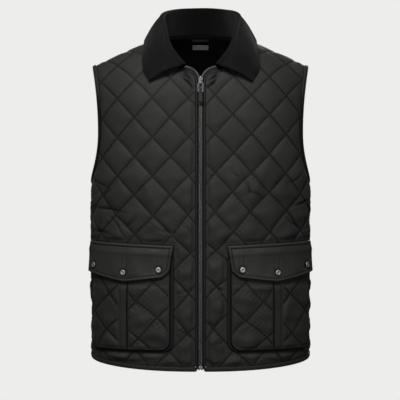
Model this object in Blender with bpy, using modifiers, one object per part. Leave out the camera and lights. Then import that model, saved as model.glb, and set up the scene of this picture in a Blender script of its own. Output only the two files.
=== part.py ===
"""Quilted gilet with a turn-down collar, a front zip and two flapped bellows pockets.

Metres, +Z up, the front faces -Y. The origin lies midway between the two neck points of the
shoulder seams, where a wearer holds the garment up. Every cloth piece is cut flat, as a pattern
with s across from the centre line and t up, and is then carried to the worn form; h is the
height off the inside of the cloth. Front, back and trims stay 0.3 mm apart at the seams.
"""
import math

import bmesh
import bpy
import numpy as np
from mathutils import Matrix, Vector
from mathutils.geometry import delaunay_2d_cdt

FRONT = -1
BACK = 1
LEFT = 1
RIGHT = -1
SIDE_NAMES = {LEFT: "left", RIGHT: "right"}

# Worn form: height of the level, half width and depths of its section, inside of the cloth.
FORM_LEVELS = (
    # height, half_width, front_depth, back_depth
    (-0.717, 0.2335, 0.118, 0.108),
    (-0.520, 0.2330, 0.119, 0.106),
    (-0.317, 0.2340, 0.121, 0.109),
    (-0.150, 0.2340, 0.120, 0.111),
)
SQUARENESS = 2.4
SECTION_SAMPLES = 2400
HEM_T = -0.7185
HEM_RISE = 0.022
HEM_CURVE = 2.2
UNDERARM_T = -0.3170
NECK_HALF = 0.081
SHOULDER_TIP = 0.2335
TIP_BEND = 0.065
SHOULDER_SLOPE = 0.440
SHOULDER_DROP = 0.005
SHOULDER_ROUND = 0.02
BACK_NECK_RISE = 0.030
BACK_NECK_Z = 0.004
BEND = {FRONT: 0.14, BACK: 0.12}
LEAST_DEPTH = 0.02
STEP = 0.001

# Soft drag folds in the cloth: place on the pattern, turn of the fold, its size and depth.
DRAG_FOLDS = (
    # face, s, t, turn_deg, half_length, half_width, depth
    (FRONT, -0.255, -0.372, 14.0, 0.045, 0.011, 0.0030),
    (FRONT, -0.235, -0.418, -9.0, 0.040, 0.010, 0.0024),
    (FRONT, 0.250, -0.365, -18.0, 0.045, 0.011, 0.0028),
    (FRONT, 0.120, -0.330, 62.0, 0.050, 0.012, 0.0022),
    (FRONT, -0.110, -0.345, -58.0, 0.045, 0.012, 0.0022),
    (BACK, 0.215, -0.390, 16.0, 0.060, 0.013, 0.0030),
    (BACK, -0.205, -0.420, -13.0, 0.060, 0.013, 0.0030),
    (BACK, 0.030, -0.470, 7.0, 0.080, 0.015, 0.0026),
    (BACK, -0.060, -0.140, -6.0, 0.055, 0.014, 0.0022),
)

# Quilted cloth.
CLOTH = 0.0030
PUFF = 0.0042
QUILT_ACROSS = 0.0385
QUILT_UP = 0.0408
QUILT_STEPS = 2
QUILT_ORIGIN = {
    FRONT: {LEFT: (0.0303, -0.2226), RIGHT: (0.0245, -0.2290)},
    BACK: {LEFT: (0.0, -0.2226)},
}
SEAM_FADE = (0.002, 0.012)
BOUND_FADE = (0.0085, 0.012)
INSIDE_STEP = (0.024, 0.055)
BEND_STEP = (0.026, 0.022)
SEAM_GAP = 0.0003
POINT_STEP = 0.017

# Bound edges of armholes and hem.
BINDING_WIDTH = 0.0080
BINDING_CLOTH = 0.0013
BINDING_MARGIN = 0.0095
BINDING_GAP = 0.0006
ARM_MID = {FRONT: 0.2310, BACK: 0.2330}
ARM_RISE = {FRONT: 0.100, BACK: 0.115}

# Centre front and zip, sizes across from the line where the tooth rows meet.
ZIP_TOP_Z = -0.1137
ZIP_TURN = 0.0368
ZIP_STEP = 0.034
ZIP_FOOT_T = -0.7095
PANEL_EDGE = 0.0112
PIPING_PLACE = 0.0088
PIPING_RADIUS = 0.0015
TAPE_WIDTH = 0.021
TAPE_CLOTH = 0.0008
ROW_WIDTH = 0.0043
ROW_HEIGHT = 0.0018
TAPE_UNDER = 0.0018
BOX_SIZE = (0.0120, 0.0036, 0.0070)

# Slider and its pull, in a frame with x across, y up the zip and z off the cloth.
SLIDER_RISE = 0.0012
SLIDER_PLATE = (0.0106, 0.0180, 0.0014)
SLIDER_PLATE_Z = 0.0028
SLIDER_BACK_Z = -0.0032
SLIDER_BACK = (0.0094, 0.0160, 0.0010)
SLIDER_POST = (0.0010, 0.0022)
BAIL_RADIUS = 0.0030
BAIL_WIRE = 0.0007
BAIL_Y = -0.0052
BAIL_LIFT = 0.0003
PIVOT_LIFT = 0.00125
LINK_HALF = 0.0052
LINK_LENGTH = 0.0190
LINK_WIRE = 0.0008
TAG_SIZE = (0.0085, 0.0215, 0.0022)
TAG_GAP = 0.0004

# Pockets, places across (s) and heights (t) on the fronts, heights off the inside (h).
PATCH_S = (0.0630, 0.2470)
PATCH_T = (-0.6760, -0.4800)
PATCH_CORNER = 0.020
PATCH_H = (0.0075, 0.0098)
LAYER_GAP = 0.0008
PATCH_PUFF = 0.0034
PATCH_QUILT_INNER = (0.0931, -0.6120)
PATCH_QUILT_OUTER = (0.0760, -0.5955)
PLEAT_S = (0.1530, 0.1550, 0.1665, 0.1690)
PLEAT_RISE = 0.0022
GUSSET_OUT = (0.0065, 0.0020, 0.0050)
GUSSET_WIDTH = 0.018
GUSSET_H = (0.0038, 0.0063)
FLAP_POINTS = (
    # s, t, corner_radius
    (0.0560, -0.4570, 0.002),
    (0.2520, -0.4480, 0.002),
    (0.2550, -0.5130, 0.004),
    (0.1590, -0.5330, 0.012),
    (0.0790, -0.5230, 0.006),
    (0.0640, -0.5100, 0.008),
)
FLAP_CLOTH = 0.0030
FLAP_BEAD = 0.0009
FLAP_BEAD_WIDTH = 0.0045
FLAP_LIFT = 0.0022
FOOT_MARGIN = 0.004
SNAPS = (
    # name, s, t
    ("inner", 0.0862, -0.5070),
    ("middle", 0.1600, -0.5135),
    ("outer", 0.2330, -0.4990),
)
SNAP_PROFILE = (
    # radius, height
    (0.0000, 0.0000),
    (0.0056, 0.0000),
    (0.0062, 0.0006),
    (0.0056, 0.0017),
    (0.0040, 0.0023),
    (0.0022, 0.0016),
    (0.0000, 0.0015),
)
SNAP_TURNS = 12
SNAP_SEAT = 0.0068
SEAT_WAYS = ((1.0, 0.0), (0.5, 0.87), (-0.5, 0.87), (-1.0, 0.0), (-0.5, -0.87), (0.5, -0.87),
             (0.0, 0.0))

# Collar: its neck seam follows the neckline; roll and outer edge are set by key places.
COLLAR_CLOTH = 0.0026
COLLAR_SEAM_H = 0.0046
COLLAR_EDGE_H = 0.0112
COLLAR_ROLL = (
    # place, x, y, z
    (0.00, 0.0000, 0.0840, 0.0705),
    (0.22, 0.0545, 0.0580, 0.0648),
    (0.42, 0.0835, -0.0040, 0.0440),
    (0.58, 0.0770, -0.0520, 0.0125),
    (0.78, 0.0655, -0.1030, -0.0335),
    (1.00, 0.0345, -0.1290, -0.0775),
)
COLLAR_EDGE = (
    # place, face, s, z
    (0.00, BACK, 0.0000, -0.0150),
    (0.22, BACK, 0.0850, -0.0300),
    (0.42, FRONT, 0.1175, -0.0215),
    (0.58, FRONT, 0.1225, -0.0480),
    (0.78, FRONT, 0.1200, -0.0850),
    (1.00, FRONT, 0.1060, -0.1150),
)
COLLAR_BACK_SHARE = 0.40
COLLAR_COLUMNS = 40
COLLAR_ROLL_RADIUS = 0.0050
COLLAR_BULGE = (0.0025, 0.0080)

# Trims inside the back neck.
LABEL_HALF = 0.018
LABEL_T_BELOW = (0.0230, 0.0350)
LOOP_HALF = 0.0185
LOOP_T_BELOW = (0.0055, 0.0115)
TRIM_H = (-0.0018, -0.0009)

MATERIALS = {
    # name: colour, roughness, metallic
    "quilted_nylon": ((0.035, 0.035, 0.034, 1.0), 0.55, 0.0),
    "needlecord": ((0.010, 0.010, 0.010, 1.0), 0.90, 0.0),
    "edge_tape": ((0.028, 0.028, 0.027, 1.0), 0.60, 0.0),
    "zip_tape": ((0.022, 0.022, 0.022, 1.0), 0.65, 0.0),
    "steel": ((0.52, 0.52, 0.51, 1.0), 0.30, 1.0),
    "rubber_tag": ((0.018, 0.018, 0.018, 1.0), 0.70, 0.0),
    "label_cloth": ((0.050, 0.050, 0.050, 1.0), 0.80, 0.0),
}

GAUSS_NODES, GAUSS_WEIGHTS = np.polynomial.legendre.leggauss(8)


def smooth_step(low, high, value):
    """Soft change from 0 at low to 1 at high."""
    share = np.clip((value - low) / (high - low), 0.0, 1.0)
    return share * share * (3.0 - 2.0 * share)


def section_table(ratio):
    """Unit quarter section: shares of its arc with x and y, and the whole arc."""
    angle = np.linspace(0.0, math.pi / 2.0, SECTION_SAMPLES)
    x = np.sin(angle) ** (2.0 / SQUARENESS)
    y = np.clip(np.cos(angle), 0.0, 1.0) ** (2.0 / SQUARENESS)
    arc = np.concatenate(([0.0], np.cumsum(np.hypot(np.diff(x), ratio * np.diff(y)))))
    return arc / arc[-1], x, y, arc[-1]


LEVEL_Z, LEVEL_WIDTH, LEVEL_FRONT, LEVEL_BACK = np.array(FORM_LEVELS).T
LEVEL_DEPTH = {FRONT: LEVEL_FRONT, BACK: LEVEL_BACK}
RATIO = {face: float(np.mean(LEVEL_DEPTH[face] / LEVEL_WIDTH)) for face in (FRONT, BACK)}
SECTION = {face: section_table(RATIO[face]) for face in (FRONT, BACK)}


def section(face, s, z):
    """Point of the level section at arc s from the centre line, and the arc to the side seam."""
    share_of, unit_x, unit_y, unit_arc = SECTION[face]
    width = np.interp(z, LEVEL_Z, LEVEL_WIDTH)
    depth = np.interp(z, LEVEL_Z, LEVEL_DEPTH[face])
    arc = unit_arc * (width + depth) / (1.0 + RATIO[face])
    share = s / arc
    past = np.maximum(share - 1.0, 0.0) * arc
    x = width * np.interp(share, share_of, unit_x)
    y = depth * np.interp(share, share_of, unit_y) - past
    return x, y, arc


def side_seam(face, z):
    """Arc from the centre line to the side seam at a level."""
    return section(face, np.zeros_like(np.asarray(z, dtype=float)), z)[2]


def ridge(face, s):
    """Height of the shoulder ridge, inside of the cloth; the back rises to the nape."""
    past = s - NECK_HALF
    top = -SHOULDER_DROP - SHOULDER_SLOPE * 0.5 * (past + np.hypot(past, SHOULDER_ROUND))
    if face == BACK:
        top = top + BACK_NECK_RISE * np.clip(1.0 - (s / NECK_HALF) ** 2, 0.0, 1.0) ** 2
    return top


def bend_arc(depth, bend, angle):
    """Arc of the shoulder bend from the ridge down to an angle."""
    half = 0.5 * angle
    total = np.zeros_like(angle)
    for node, weight in zip(GAUSS_NODES, GAUSS_WEIGHTS):
        turn = half * (1.0 + node)
        total = total + weight * np.hypot(depth * np.cos(turn), bend * np.sin(turn))
    return half * total


def bend_sizes(face, s):
    """Ridge height, chest level, chest x, depth and whole bend arc of a pattern column."""
    top = ridge(face, s)
    low = top - BEND[face]
    chest_x, depth, _ = section(face, s, low)
    depth = np.maximum(depth, LEAST_DEPTH)
    quarter = bend_arc(depth, BEND[face], np.full_like(depth, math.pi / 2.0))
    return top, low, chest_x, depth, quarter


def form_point(face, s, t):
    """Point of the worn form, inside of the cloth, for a pattern point."""
    s, t = np.broadcast_arrays(np.asarray(s, dtype=float), np.asarray(t, dtype=float))
    across = np.abs(s)
    bend = BEND[face]
    top, low, chest_x, depth, quarter = bend_sizes(face, across)
    reach = quarter - (t - low)
    angle = reach / quarter * (math.pi / 2.0)
    for _ in range(5):
        slope = np.hypot(depth * np.cos(angle), bend * np.sin(angle))
        angle = angle - (bend_arc(depth, bend, angle) - reach) / slope
    level_x, level_y, _ = section(face, across, np.minimum(t, low))
    ease = smooth_step(0.0, 1.0, 1.0 - angle / (math.pi / 2.0))
    bent = t > low
    x = np.where(bent, chest_x + (across - chest_x) * ease, level_x)
    y = np.where(bent, depth * np.sin(angle), level_y)
    z = np.where(bent, top - bend * (1.0 - np.cos(angle)), t)
    return np.stack((np.where(s < 0.0, -x, x), face * y, z), axis=-1)


def pattern_t(face, s, z):
    """Pattern height of a column point at a worn height z."""
    s = np.abs(np.asarray(s, dtype=float))
    top, low, _, depth, quarter = bend_sizes(face, s)
    angle = np.arccos(np.clip(1.0 - (top - z) / BEND[face], -1.0, 1.0))
    return np.where(z > low, low + quarter - bend_arc(depth, BEND[face], angle), z)


def shoulder_t(face, s):
    """Pattern height of the shoulder seam."""
    _, low, _, _, quarter = bend_sizes(face, np.abs(np.asarray(s, dtype=float)))
    return low + quarter


def drag_fold(face, s, t):
    """Depth of the soft folds at a pattern point."""
    rise = np.zeros(np.broadcast(s, t).shape)
    for fold_face, fold_s, fold_t, turn, length, width, depth in DRAG_FOLDS:
        if fold_face != face:
            continue
        cos, sin = math.cos(math.radians(turn)), math.sin(math.radians(turn))
        along = ((s - fold_s) * cos + (t - fold_t) * sin) / length
        over = ((t - fold_t) * cos - (s - fold_s) * sin) / width
        rise = rise + depth * np.exp(-along ** 2 - over ** 2)
    return rise


def drape(face, s, t, h):
    """Carries pattern points to the worn form, h off the inside of the cloth."""
    s = np.asarray(s, dtype=float)
    t = np.asarray(t, dtype=float)
    across = form_point(face, s + STEP, t) - form_point(face, s - STEP, t)
    up = form_point(face, s, t + STEP) - form_point(face, s, t - STEP)
    normal = np.cross(across, up) * -face
    normal /= np.linalg.norm(normal, axis=-1, keepdims=True)
    lift = np.asarray(h) + drag_fold(face, s, t)
    return form_point(face, s, t) + lift[..., None] * normal


def remove_all():
    """Clears the starting objects."""
    for item in list(bpy.data.objects):
        bpy.data.objects.remove(item, do_unlink=True)


def new_material(name):
    """Principled material of one surface."""
    colour, roughness, metallic = MATERIALS[name]
    material = bpy.data.materials.new(name)
    material.use_nodes = True
    shader = material.node_tree.nodes["Principled BSDF"]
    shader.inputs["Base Color"].default_value = colour
    shader.inputs["Roughness"].default_value = roughness
    shader.inputs["Metallic"].default_value = metallic
    return material


def new_collection(name):
    """Collection for one kind of object."""
    collection = bpy.data.collections.new(name)
    bpy.context.scene.collection.children.link(collection)
    return collection


def add_solid(name, points, faces, material, parent=None):
    """Closed solid from points and faces, its faces turned outward."""
    mesh = bpy.data.meshes.new(name)
    mesh.from_pydata([tuple(point) for point in points], [], faces)
    shell = bmesh.new()
    shell.from_mesh(mesh)
    bmesh.ops.recalc_face_normals(shell, faces=shell.faces)
    shell.to_mesh(mesh)
    shell.free()
    mesh.materials.append(material)
    item = bpy.data.objects.new(name, mesh)
    item.parent = parent
    parts.objects.link(item)
    return item


def add_empty(name, matrix, parent=None):
    """Frame that pieces are placed by."""
    item = bpy.data.objects.new(name, None)
    item.empty_display_size = 0.01
    item.parent = parent
    item.matrix_world = matrix
    parts.objects.link(item)
    return item


def sweep(name, rings, material, closed=False):
    """Solid through rings of points, capped at both ends or closed on itself."""
    rings = np.asarray(rings)
    count, size = rings.shape[:2]
    faces = []
    for ring in range(count if closed else count - 1):
        here = ring * size
        there = (ring + 1) % count * size
        for spot in range(size):
            after = (spot + 1) % size
            faces.append((here + spot, here + after, there + after, there + spot))
    if not closed:
        faces.append(tuple(range(size)))
        faces.append(tuple(range((count - 1) * size, count * size)))
    return add_solid(name, rings.reshape(-1, 3), faces, material)


def path_normals(path):
    """Unit directions to the right of an open flat path."""
    along = np.gradient(path, axis=0)
    along /= np.linalg.norm(along, axis=1, keepdims=True)
    return np.stack((along[:, 1], -along[:, 0]), axis=1)


def edge_rings(face, edge, inward, profile):
    """Rings of a profile (m into the cloth from its edge, h off the inside) along an edge."""
    profile = np.asarray(profile)
    s = edge[:, None, 0] + inward[:, None, 0] * profile[None, :, 0]
    t = edge[:, None, 1] + inward[:, None, 1] * profile[None, :, 0]
    h = np.broadcast_to(profile[None, :, 1], s.shape)
    return drape(face, s, t, h)


def distance(points, path):
    """Least distance of points from an open flat path."""
    start = path[:-1]
    run = path[1:] - start
    to = points[:, None, :] - start[None]
    share = np.clip((to * run).sum(-1) / np.maximum((run * run).sum(-1), 1e-18), 0.0, 1.0)
    return np.linalg.norm(to - share[..., None] * run, axis=-1).min(axis=1)


def within(points, loop):
    """True for points inside a flat loop."""
    start = loop
    end = np.roll(loop, -1, axis=0)
    above = (start[None, :, 1] > points[:, None, 1]) != (end[None, :, 1] > points[:, None, 1])
    rise = np.where(end[:, 1] == start[:, 1], 1.0, end[:, 1] - start[:, 1])
    slope = (end[:, 0] - start[:, 0]) / rise
    cross = start[None, :, 0] + (points[:, None, 1] - start[None, :, 1]) * slope[None]
    return (above & (points[:, None, 0] < cross)).sum(axis=1) % 2 == 1


def closed_path(loop):
    """Loop with its first point again at its end."""
    return np.vstack((loop, loop[:1]))


def spaced(path, step=POINT_STEP):
    """Even points along a flat path, both ends kept."""
    arc = np.concatenate(([0.0], np.cumsum(np.linalg.norm(np.diff(path, axis=0), axis=1))))
    count = max(2, int(round(arc[-1] / step)) + 1)
    place = np.linspace(0.0, arc[-1], count)
    return np.stack([np.interp(place, arc, path[:, axis]) for axis in (0, 1)], axis=1)


def joined(*paths):
    """One loop from paths that run on from each other."""
    return np.vstack([path[:-1] for path in paths])


def rounded(corners, steps=3):
    """Loop through corners that are each rounded by a radius."""
    points = np.array([corner[:2] for corner in corners])
    loop = []
    for spot, corner in enumerate(points):
        before = points[spot - 1] - corner
        after = points[(spot + 1) % len(points)] - corner
        before = before / np.linalg.norm(before)
        after = after / np.linalg.norm(after)
        half = 0.5 * math.acos(max(-1.0, min(1.0, float(before @ after))))
        back = corners[spot][2] / math.tan(half)
        for step in range(steps + 1):
            share = step / steps
            first = corner + before * back * (1.0 - share)
            second = corner + after * back * share
            loop.append(first * (1.0 - share) + second * share)
    return np.array(loop)


def triangles(loop, inside, lines=()):
    """Triangles of the region in a loop, with set points and lines inside it."""
    points = [Vector(point) for point in loop] + [Vector(point) for point in inside]
    edges = [(spot, (spot + 1) % len(loop)) for spot in range(len(loop))]
    edges += [(first + len(loop), second + len(loop)) for first, second in lines]
    result = delaunay_2d_cdt(points, edges, [], 1, 1e-7)
    return [tuple(face) for face in result[2]]


def add_wall(name, face, loop, outer, inner, material):
    """Cloth wall cut to a loop: outer and inner each hold inside points, lines and heights."""
    outer_points, outer_lines, outer_height = outer
    inner_points, inner_lines, inner_height = inner
    outer_flat = np.vstack((loop, outer_points))
    inner_flat = np.vstack((loop, inner_points))
    outer_solid = drape(face, outer_flat[:, 0], outer_flat[:, 1], outer_height(outer_flat))
    inner_solid = drape(face, inner_flat[:, 0], inner_flat[:, 1], inner_height(inner_flat))
    first = len(outer_flat)
    faces = triangles(loop, outer_points, outer_lines)
    faces += [tuple(first + spot for spot in reversed(triangle))
              for triangle in triangles(loop, inner_points, inner_lines)]
    for spot in range(len(loop)):
        after = (spot + 1) % len(loop)
        faces.append((after, spot, first + spot, first + after))
    return add_solid(name, np.vstack((outer_solid, inner_solid)), faces, material)


def pillow(origin, flat):
    """Quilt puff, 0 on the stitched diamonds' lines and 1 at their middles."""
    across = (np.abs(flat[:, 0]) - origin[0]) / QUILT_ACROSS
    up = (flat[:, 1] - origin[1]) / QUILT_UP
    first = np.abs(np.sin(0.5 * math.pi * (across + up)))
    second = np.abs(np.sin(0.5 * math.pi * (across - up)))
    return np.sqrt(first * second)


def clear_of(points, loops, paths):
    """True for points off every loop's inside and far enough from every path."""
    keep = np.ones(len(points), dtype=bool)
    for loop in loops:
        keep &= ~within(points, loop)
    for path, margin in paths:
        keep &= distance(points, path) > margin
    return keep


def quilt_grid(loop, origin, side, holes, paths):
    """Grid points on the quilt diamonds inside a loop, and the stitched lines between them."""
    step_s = QUILT_ACROSS / QUILT_STEPS
    step_t = QUILT_UP / QUILT_STEPS
    low = (loop * (side, 1.0)).min(axis=0)
    high = (loop * (side, 1.0)).max(axis=0)
    columns = np.arange(math.floor((low[0] - origin[0]) / step_s),
                        math.ceil((high[0] - origin[0]) / step_s) + 1)
    rows = np.arange(math.floor((low[1] - origin[1]) / step_t),
                     math.ceil((high[1] - origin[1]) / step_t) + 1)
    column, row = [axis.ravel() for axis in np.meshgrid(columns, rows)]
    points = np.stack((side * (origin[0] + column * step_s), origin[1] + row * step_t), axis=1)
    keep = within(points, loop) & clear_of(points, holes, paths)
    spots = {key: spot for spot, key in enumerate(zip(column[keep], row[keep]))}
    lines = []
    for col, line in spots:
        rising = (col // QUILT_STEPS + line // QUILT_STEPS) % 2 == 0
        ends = ((col, line), (col + 1, line + 1)) if rising else ((col + 1, line), (col, line + 1))
        if ends[0] in spots and ends[1] in spots:
            lines.append((spots[ends[0]], spots[ends[1]]))
    return points[keep], lines


def plain_grid(loop, step, holes=(), paths=()):
    """Plain grid points inside a loop."""
    low = loop.min(axis=0)
    high = loop.max(axis=0)
    s, t = np.meshgrid(np.arange(low[0] + 0.5 * step[0], high[0], step[0]),
                       np.arange(low[1] + 0.5 * step[1], high[1], step[1]))
    points = np.stack((s.ravel(), t.ravel()), axis=1)
    return points[within(points, loop) & clear_of(points, holes, paths)]


def run_lines(first, count):
    """Run of lines through points that follow each other."""
    return [(first + spot, first + spot + 1) for spot in range(count - 1)]


def loop_lines(first, count):
    """Closed run of lines through points that follow each other."""
    return [(first + spot, first + (spot + 1) % count) for spot in range(count)]


def mirrored(path, side):
    """Flat path for the left or the right side."""
    return path * np.array((side, 1.0))


def zip_line(offset, foot=ZIP_FOOT_T, step=ZIP_STEP):
    """Flat path beside the zip: up the centre front and out along the open neck."""
    turn_t = float(pattern_t(FRONT, 0.0, ZIP_TOP_Z))
    angle = np.linspace(0.0, math.pi / 2.0, 9)
    radius = ZIP_TURN - offset
    arc = np.stack((ZIP_TURN - radius * np.cos(angle), turn_t + radius * np.sin(angle)), axis=1)
    rise = np.linspace(foot, turn_t, int(round((turn_t - foot) / step)) + 1)[:-1]
    straight = np.stack((np.full_like(rise, offset), rise), axis=1)
    return np.vstack((straight, arc))


def front_neck():
    """Front neckline from the open neck's end to the neck point."""
    start = zip_line(PANEL_EDGE)[-1]
    top = float(shoulder_t(FRONT, NECK_HALF)) - SEAM_GAP / 2.0
    angle = np.linspace(0.0, math.pi / 2.0, 40)
    return np.stack((start[0] + (NECK_HALF - start[0]) * np.sin(angle),
                     top - (top - start[1]) * np.cos(angle)), axis=1)


def back_neck():
    """Back neckline from the neck point to the centre back."""
    top = float(shoulder_t(BACK, NECK_HALF)) - SEAM_GAP / 2.0
    nape = float(pattern_t(BACK, 0.0, BACK_NECK_Z))
    angle = np.linspace(0.0, math.pi / 2.0, 40)
    return np.stack((NECK_HALF * np.cos(angle), top - (top - nape) * np.sin(angle)), axis=1)


def armhole(face):
    """Armhole cut from the side seam up to the shoulder seam."""
    side = float(side_seam(face, UNDERARM_T)) - SEAM_GAP / 2.0
    angle = np.linspace(0.0, math.pi / 2.0, 40)
    bowl = np.stack((side - (side - ARM_MID[face]) * np.sin(angle),
                     UNDERARM_T + ARM_RISE[face] * (1.0 - np.cos(angle))), axis=1)
    tip_t = float(shoulder_t(face, SHOULDER_TIP)) - SEAM_GAP / 2.0
    bend_t = tip_t - TIP_BEND
    rise = np.concatenate((np.linspace(bowl[-1, 1], bend_t, 6)[1:-1],
                           np.linspace(bend_t, tip_t, 8)))
    share = (rise - bowl[-1, 1]) / (tip_t - bowl[-1, 1])
    out = ARM_MID[face] + (SHOULDER_TIP - ARM_MID[face]) * share ** 2
    return np.vstack((spaced(bowl, 0.019), np.stack((out, rise), axis=1)))


def shoulder(face):
    """Shoulder seam from the tip to the neck point."""
    s = np.linspace(SHOULDER_TIP, NECK_HALF, 10)
    return np.stack((s, shoulder_t(face, s) - SEAM_GAP / 2.0), axis=1)


def armhole_inward(face):
    """Ways into the cloth along an armhole, turning to the shoulder seam at the tip."""
    edge = armhole(face)
    seam = shoulder(face)
    along = (seam[1] - seam[0]) / np.linalg.norm(seam[1] - seam[0])
    turn = smooth_step(0.022, 0.0, np.linalg.norm(edge - edge[-1], axis=1))[:, None]
    way = -path_normals(edge) * (1.0 - turn) + along * turn
    return way / np.linalg.norm(way, axis=1, keepdims=True)


def side_edge(face):
    """Side seam from the hem up to the underarm."""
    t = np.linspace(HEM_T + HEM_RISE, UNDERARM_T, 24)
    return np.stack((side_seam(face, t) - SEAM_GAP / 2.0, t), axis=1)


def hem_edge(face, start):
    """Hem from the centre out to the side seam, rising towards it."""
    end = float(side_seam(face, HEM_T + HEM_RISE)) - SEAM_GAP / 2.0
    share = np.linspace(0.0, 1.0, 60)
    return spaced(np.stack((start + (end - start) * share,
                            HEM_T + HEM_RISE * share ** HEM_CURVE), axis=1))


def quilted_height(origin, sewn, bound, flat_loop):
    """Outer height of a quilted wall: puffs that fade at seams, bindings and under a pocket."""
    def height(flat):
        fade = np.ones(len(flat))
        for path in sewn:
            fade *= smooth_step(SEAM_FADE[0], sum(SEAM_FADE), distance(flat, path))
        for path in bound:
            fade *= smooth_step(BOUND_FADE[0], sum(BOUND_FADE), distance(flat, path))
        if flat_loop is not None:
            off = distance(flat, closed_path(flat_loop))
            fade *= np.where(within(flat, flat_loop), 0.0, smooth_step(0.0, 0.010, off))
        return CLOTH + PUFF * pillow(origin, flat) * fade
    return height


def pocket_foot():
    """Loop that a pocket with its flap covers on the front."""
    low_s = min(PATCH_S[0] - GUSSET_OUT[0], FLAP_POINTS[0][0]) - FOOT_MARGIN
    high_s = max(PATCH_S[1] + GUSSET_OUT[2], FLAP_POINTS[2][0]) + FOOT_MARGIN
    low_t = PATCH_T[0] - GUSSET_OUT[1] - FOOT_MARGIN
    high_t = FLAP_POINTS[1][1] + FOOT_MARGIN
    corners = np.array(((low_s, low_t), (high_s, low_t), (high_s, high_t),
                        (low_s, FLAP_POINTS[0][1] + FOOT_MARGIN), (low_s, low_t)))
    runs = [spaced(corners[spot:spot + 2], 0.022) for spot in range(4)]
    return joined(*runs)


def bound_margin(edge, inward, loop):
    """Flat run beside a bound edge, just past its binding."""
    run = edge + inward * BINDING_MARGIN
    other = closed_path(loop)
    keep = within(run, loop) & (distance(run, other) > 0.35 * BINDING_MARGIN)
    return run[keep]


def add_panel(name, face, loop, sewn, bound, foot, trims, cloth):
    """Quilted wall over a plain inside, flat beside its bindings and under a pocket."""
    edge_path = [(closed_path(loop), 0.006)]
    edge_path += [(edge, BINDING_MARGIN + 0.005) for edge, _ in bound]
    side = RIGHT if loop[:, 0].max() < 0.01 else LEFT
    holes = [foot] if foot is not None else []
    foot_path = [(closed_path(hole), 0.006) for hole in holes]
    origin = QUILT_ORIGIN[face][side]
    points, lines = quilt_grid(loop, origin, side, holes, edge_path + foot_path)
    margins = [bound_margin(edge, inward, loop) for edge, inward in bound]
    outer_points, outer_lines = points, list(lines)
    inner_points = inside_points(face, loop, trims, edge_path)
    inner_lines = []
    for run in margins:
        outer_lines += run_lines(len(outer_points), len(run))
        inner_lines += run_lines(len(inner_points), len(run))
        outer_points = np.vstack((outer_points, run))
        inner_points = np.vstack((inner_points, run))
    for hole in holes:
        outer_lines += loop_lines(len(outer_points), len(hole))
        under = plain_grid(hole, INSIDE_STEP, (), [(closed_path(hole), 0.008)])
        outer_points = np.vstack((outer_points, hole, under))
    for trim in trims:
        inner_lines += loop_lines(len(inner_points), len(trim))
        inner_points = np.vstack((inner_points, trim))
    height = quilted_height(origin, sewn, [edge for edge, _ in bound], foot)
    add_wall(name, face, loop, (outer_points, outer_lines, height),
             (inner_points, inner_lines, plain_height(0.0)), cloth)


def add_front(side, cloth):
    """One quilted front."""
    edge = zip_line(PANEL_EDGE, HEM_T, POINT_STEP)
    hem = hem_edge(FRONT, PANEL_EDGE)
    seam = side_edge(FRONT)
    arm = armhole(FRONT)
    top = shoulder(FRONT)
    neck = spaced(front_neck())[::-1]
    loop = mirrored(joined(hem, seam, arm, top, neck, edge[::-1]), side)
    sewn = [mirrored(path, side) for path in (seam, top, neck, edge)]
    bound = [(mirrored(hem, side), np.tile((0.0, 1.0), (len(hem), 1))),
             (mirrored(arm, side), mirrored(armhole_inward(FRONT), side))]
    add_panel("front_" + SIDE_NAMES[side], FRONT, loop, sewn, bound,
              mirrored(pocket_foot(), side), [], cloth)


def inside_points(face, loop, trims, paths):
    """Points of the plain inside of a panel, closer together over the shoulder bend."""
    chest = -BEND[face] - 0.02
    paths = paths + [(closed_path(trim), 0.006) for trim in trims]
    low = plain_grid(loop, INSIDE_STEP, trims, paths)
    high = plain_grid(loop, BEND_STEP, trims, paths)
    return np.vstack((low[low[:, 1] < chest - 0.02], high[high[:, 1] >= chest]))


def plain_height(value):
    """Even height for a wall's face."""
    def height(flat):
        return np.full(len(flat), value)
    return height


def add_back(cloth):
    """The quilted back, cut in one."""
    half = [hem_edge(BACK, 0.0), side_edge(BACK), armhole(BACK), shoulder(BACK),
            spaced(back_neck())]
    other = [mirrored(path[::-1], RIGHT) for path in reversed(half)]
    loop = joined(*half, *other)
    sewn = [half[1], half[3], half[4], other[0], other[1], other[3]]
    hem = np.vstack((other[4][:-1], half[0]))
    arm = armhole(BACK)
    inward = armhole_inward(BACK)
    bound = [(hem, np.tile((0.0, 1.0), (len(hem), 1))), (arm, inward),
             (mirrored(arm, RIGHT), mirrored(inward, RIGHT))]
    trims = [trim_loop(LABEL_HALF, LABEL_T_BELOW), trim_loop(LOOP_HALF, LOOP_T_BELOW)]
    add_panel("back", BACK, loop, sewn, bound, None, trims, cloth)


def binding_profile():
    """Folded tape round an edge: m into the cloth, h off its inside."""
    top = CLOTH + BINDING_GAP
    low = -BINDING_GAP
    wall = BINDING_CLOTH
    return ((BINDING_WIDTH, top), (BINDING_WIDTH, top + 0.6 * wall),
            (0.55 * BINDING_WIDTH, top + 1.25 * wall), (0.0, top + wall),
            (-SEAM_GAP - wall, 0.5 * CLOTH), (0.0, low - wall),
            (BINDING_WIDTH, low - wall), (BINDING_WIDTH, low),
            (-SEAM_GAP, low), (-SEAM_GAP, top))


def add_armhole_binding(side, tape):
    """Binding round one armhole: up the front from the underarm and down the back."""
    profile = binding_profile()
    rings = []
    for face in (FRONT, BACK):
        edge = armhole(face)
        inward = armhole_inward(face)
        run = edge_rings(face, mirrored(edge, side), mirrored(inward, side), profile)
        rings.append(run if face == FRONT else run[::-1])
    sweep("armhole_binding_" + SIDE_NAMES[side], np.vstack(rings), tape, closed=True)


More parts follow.
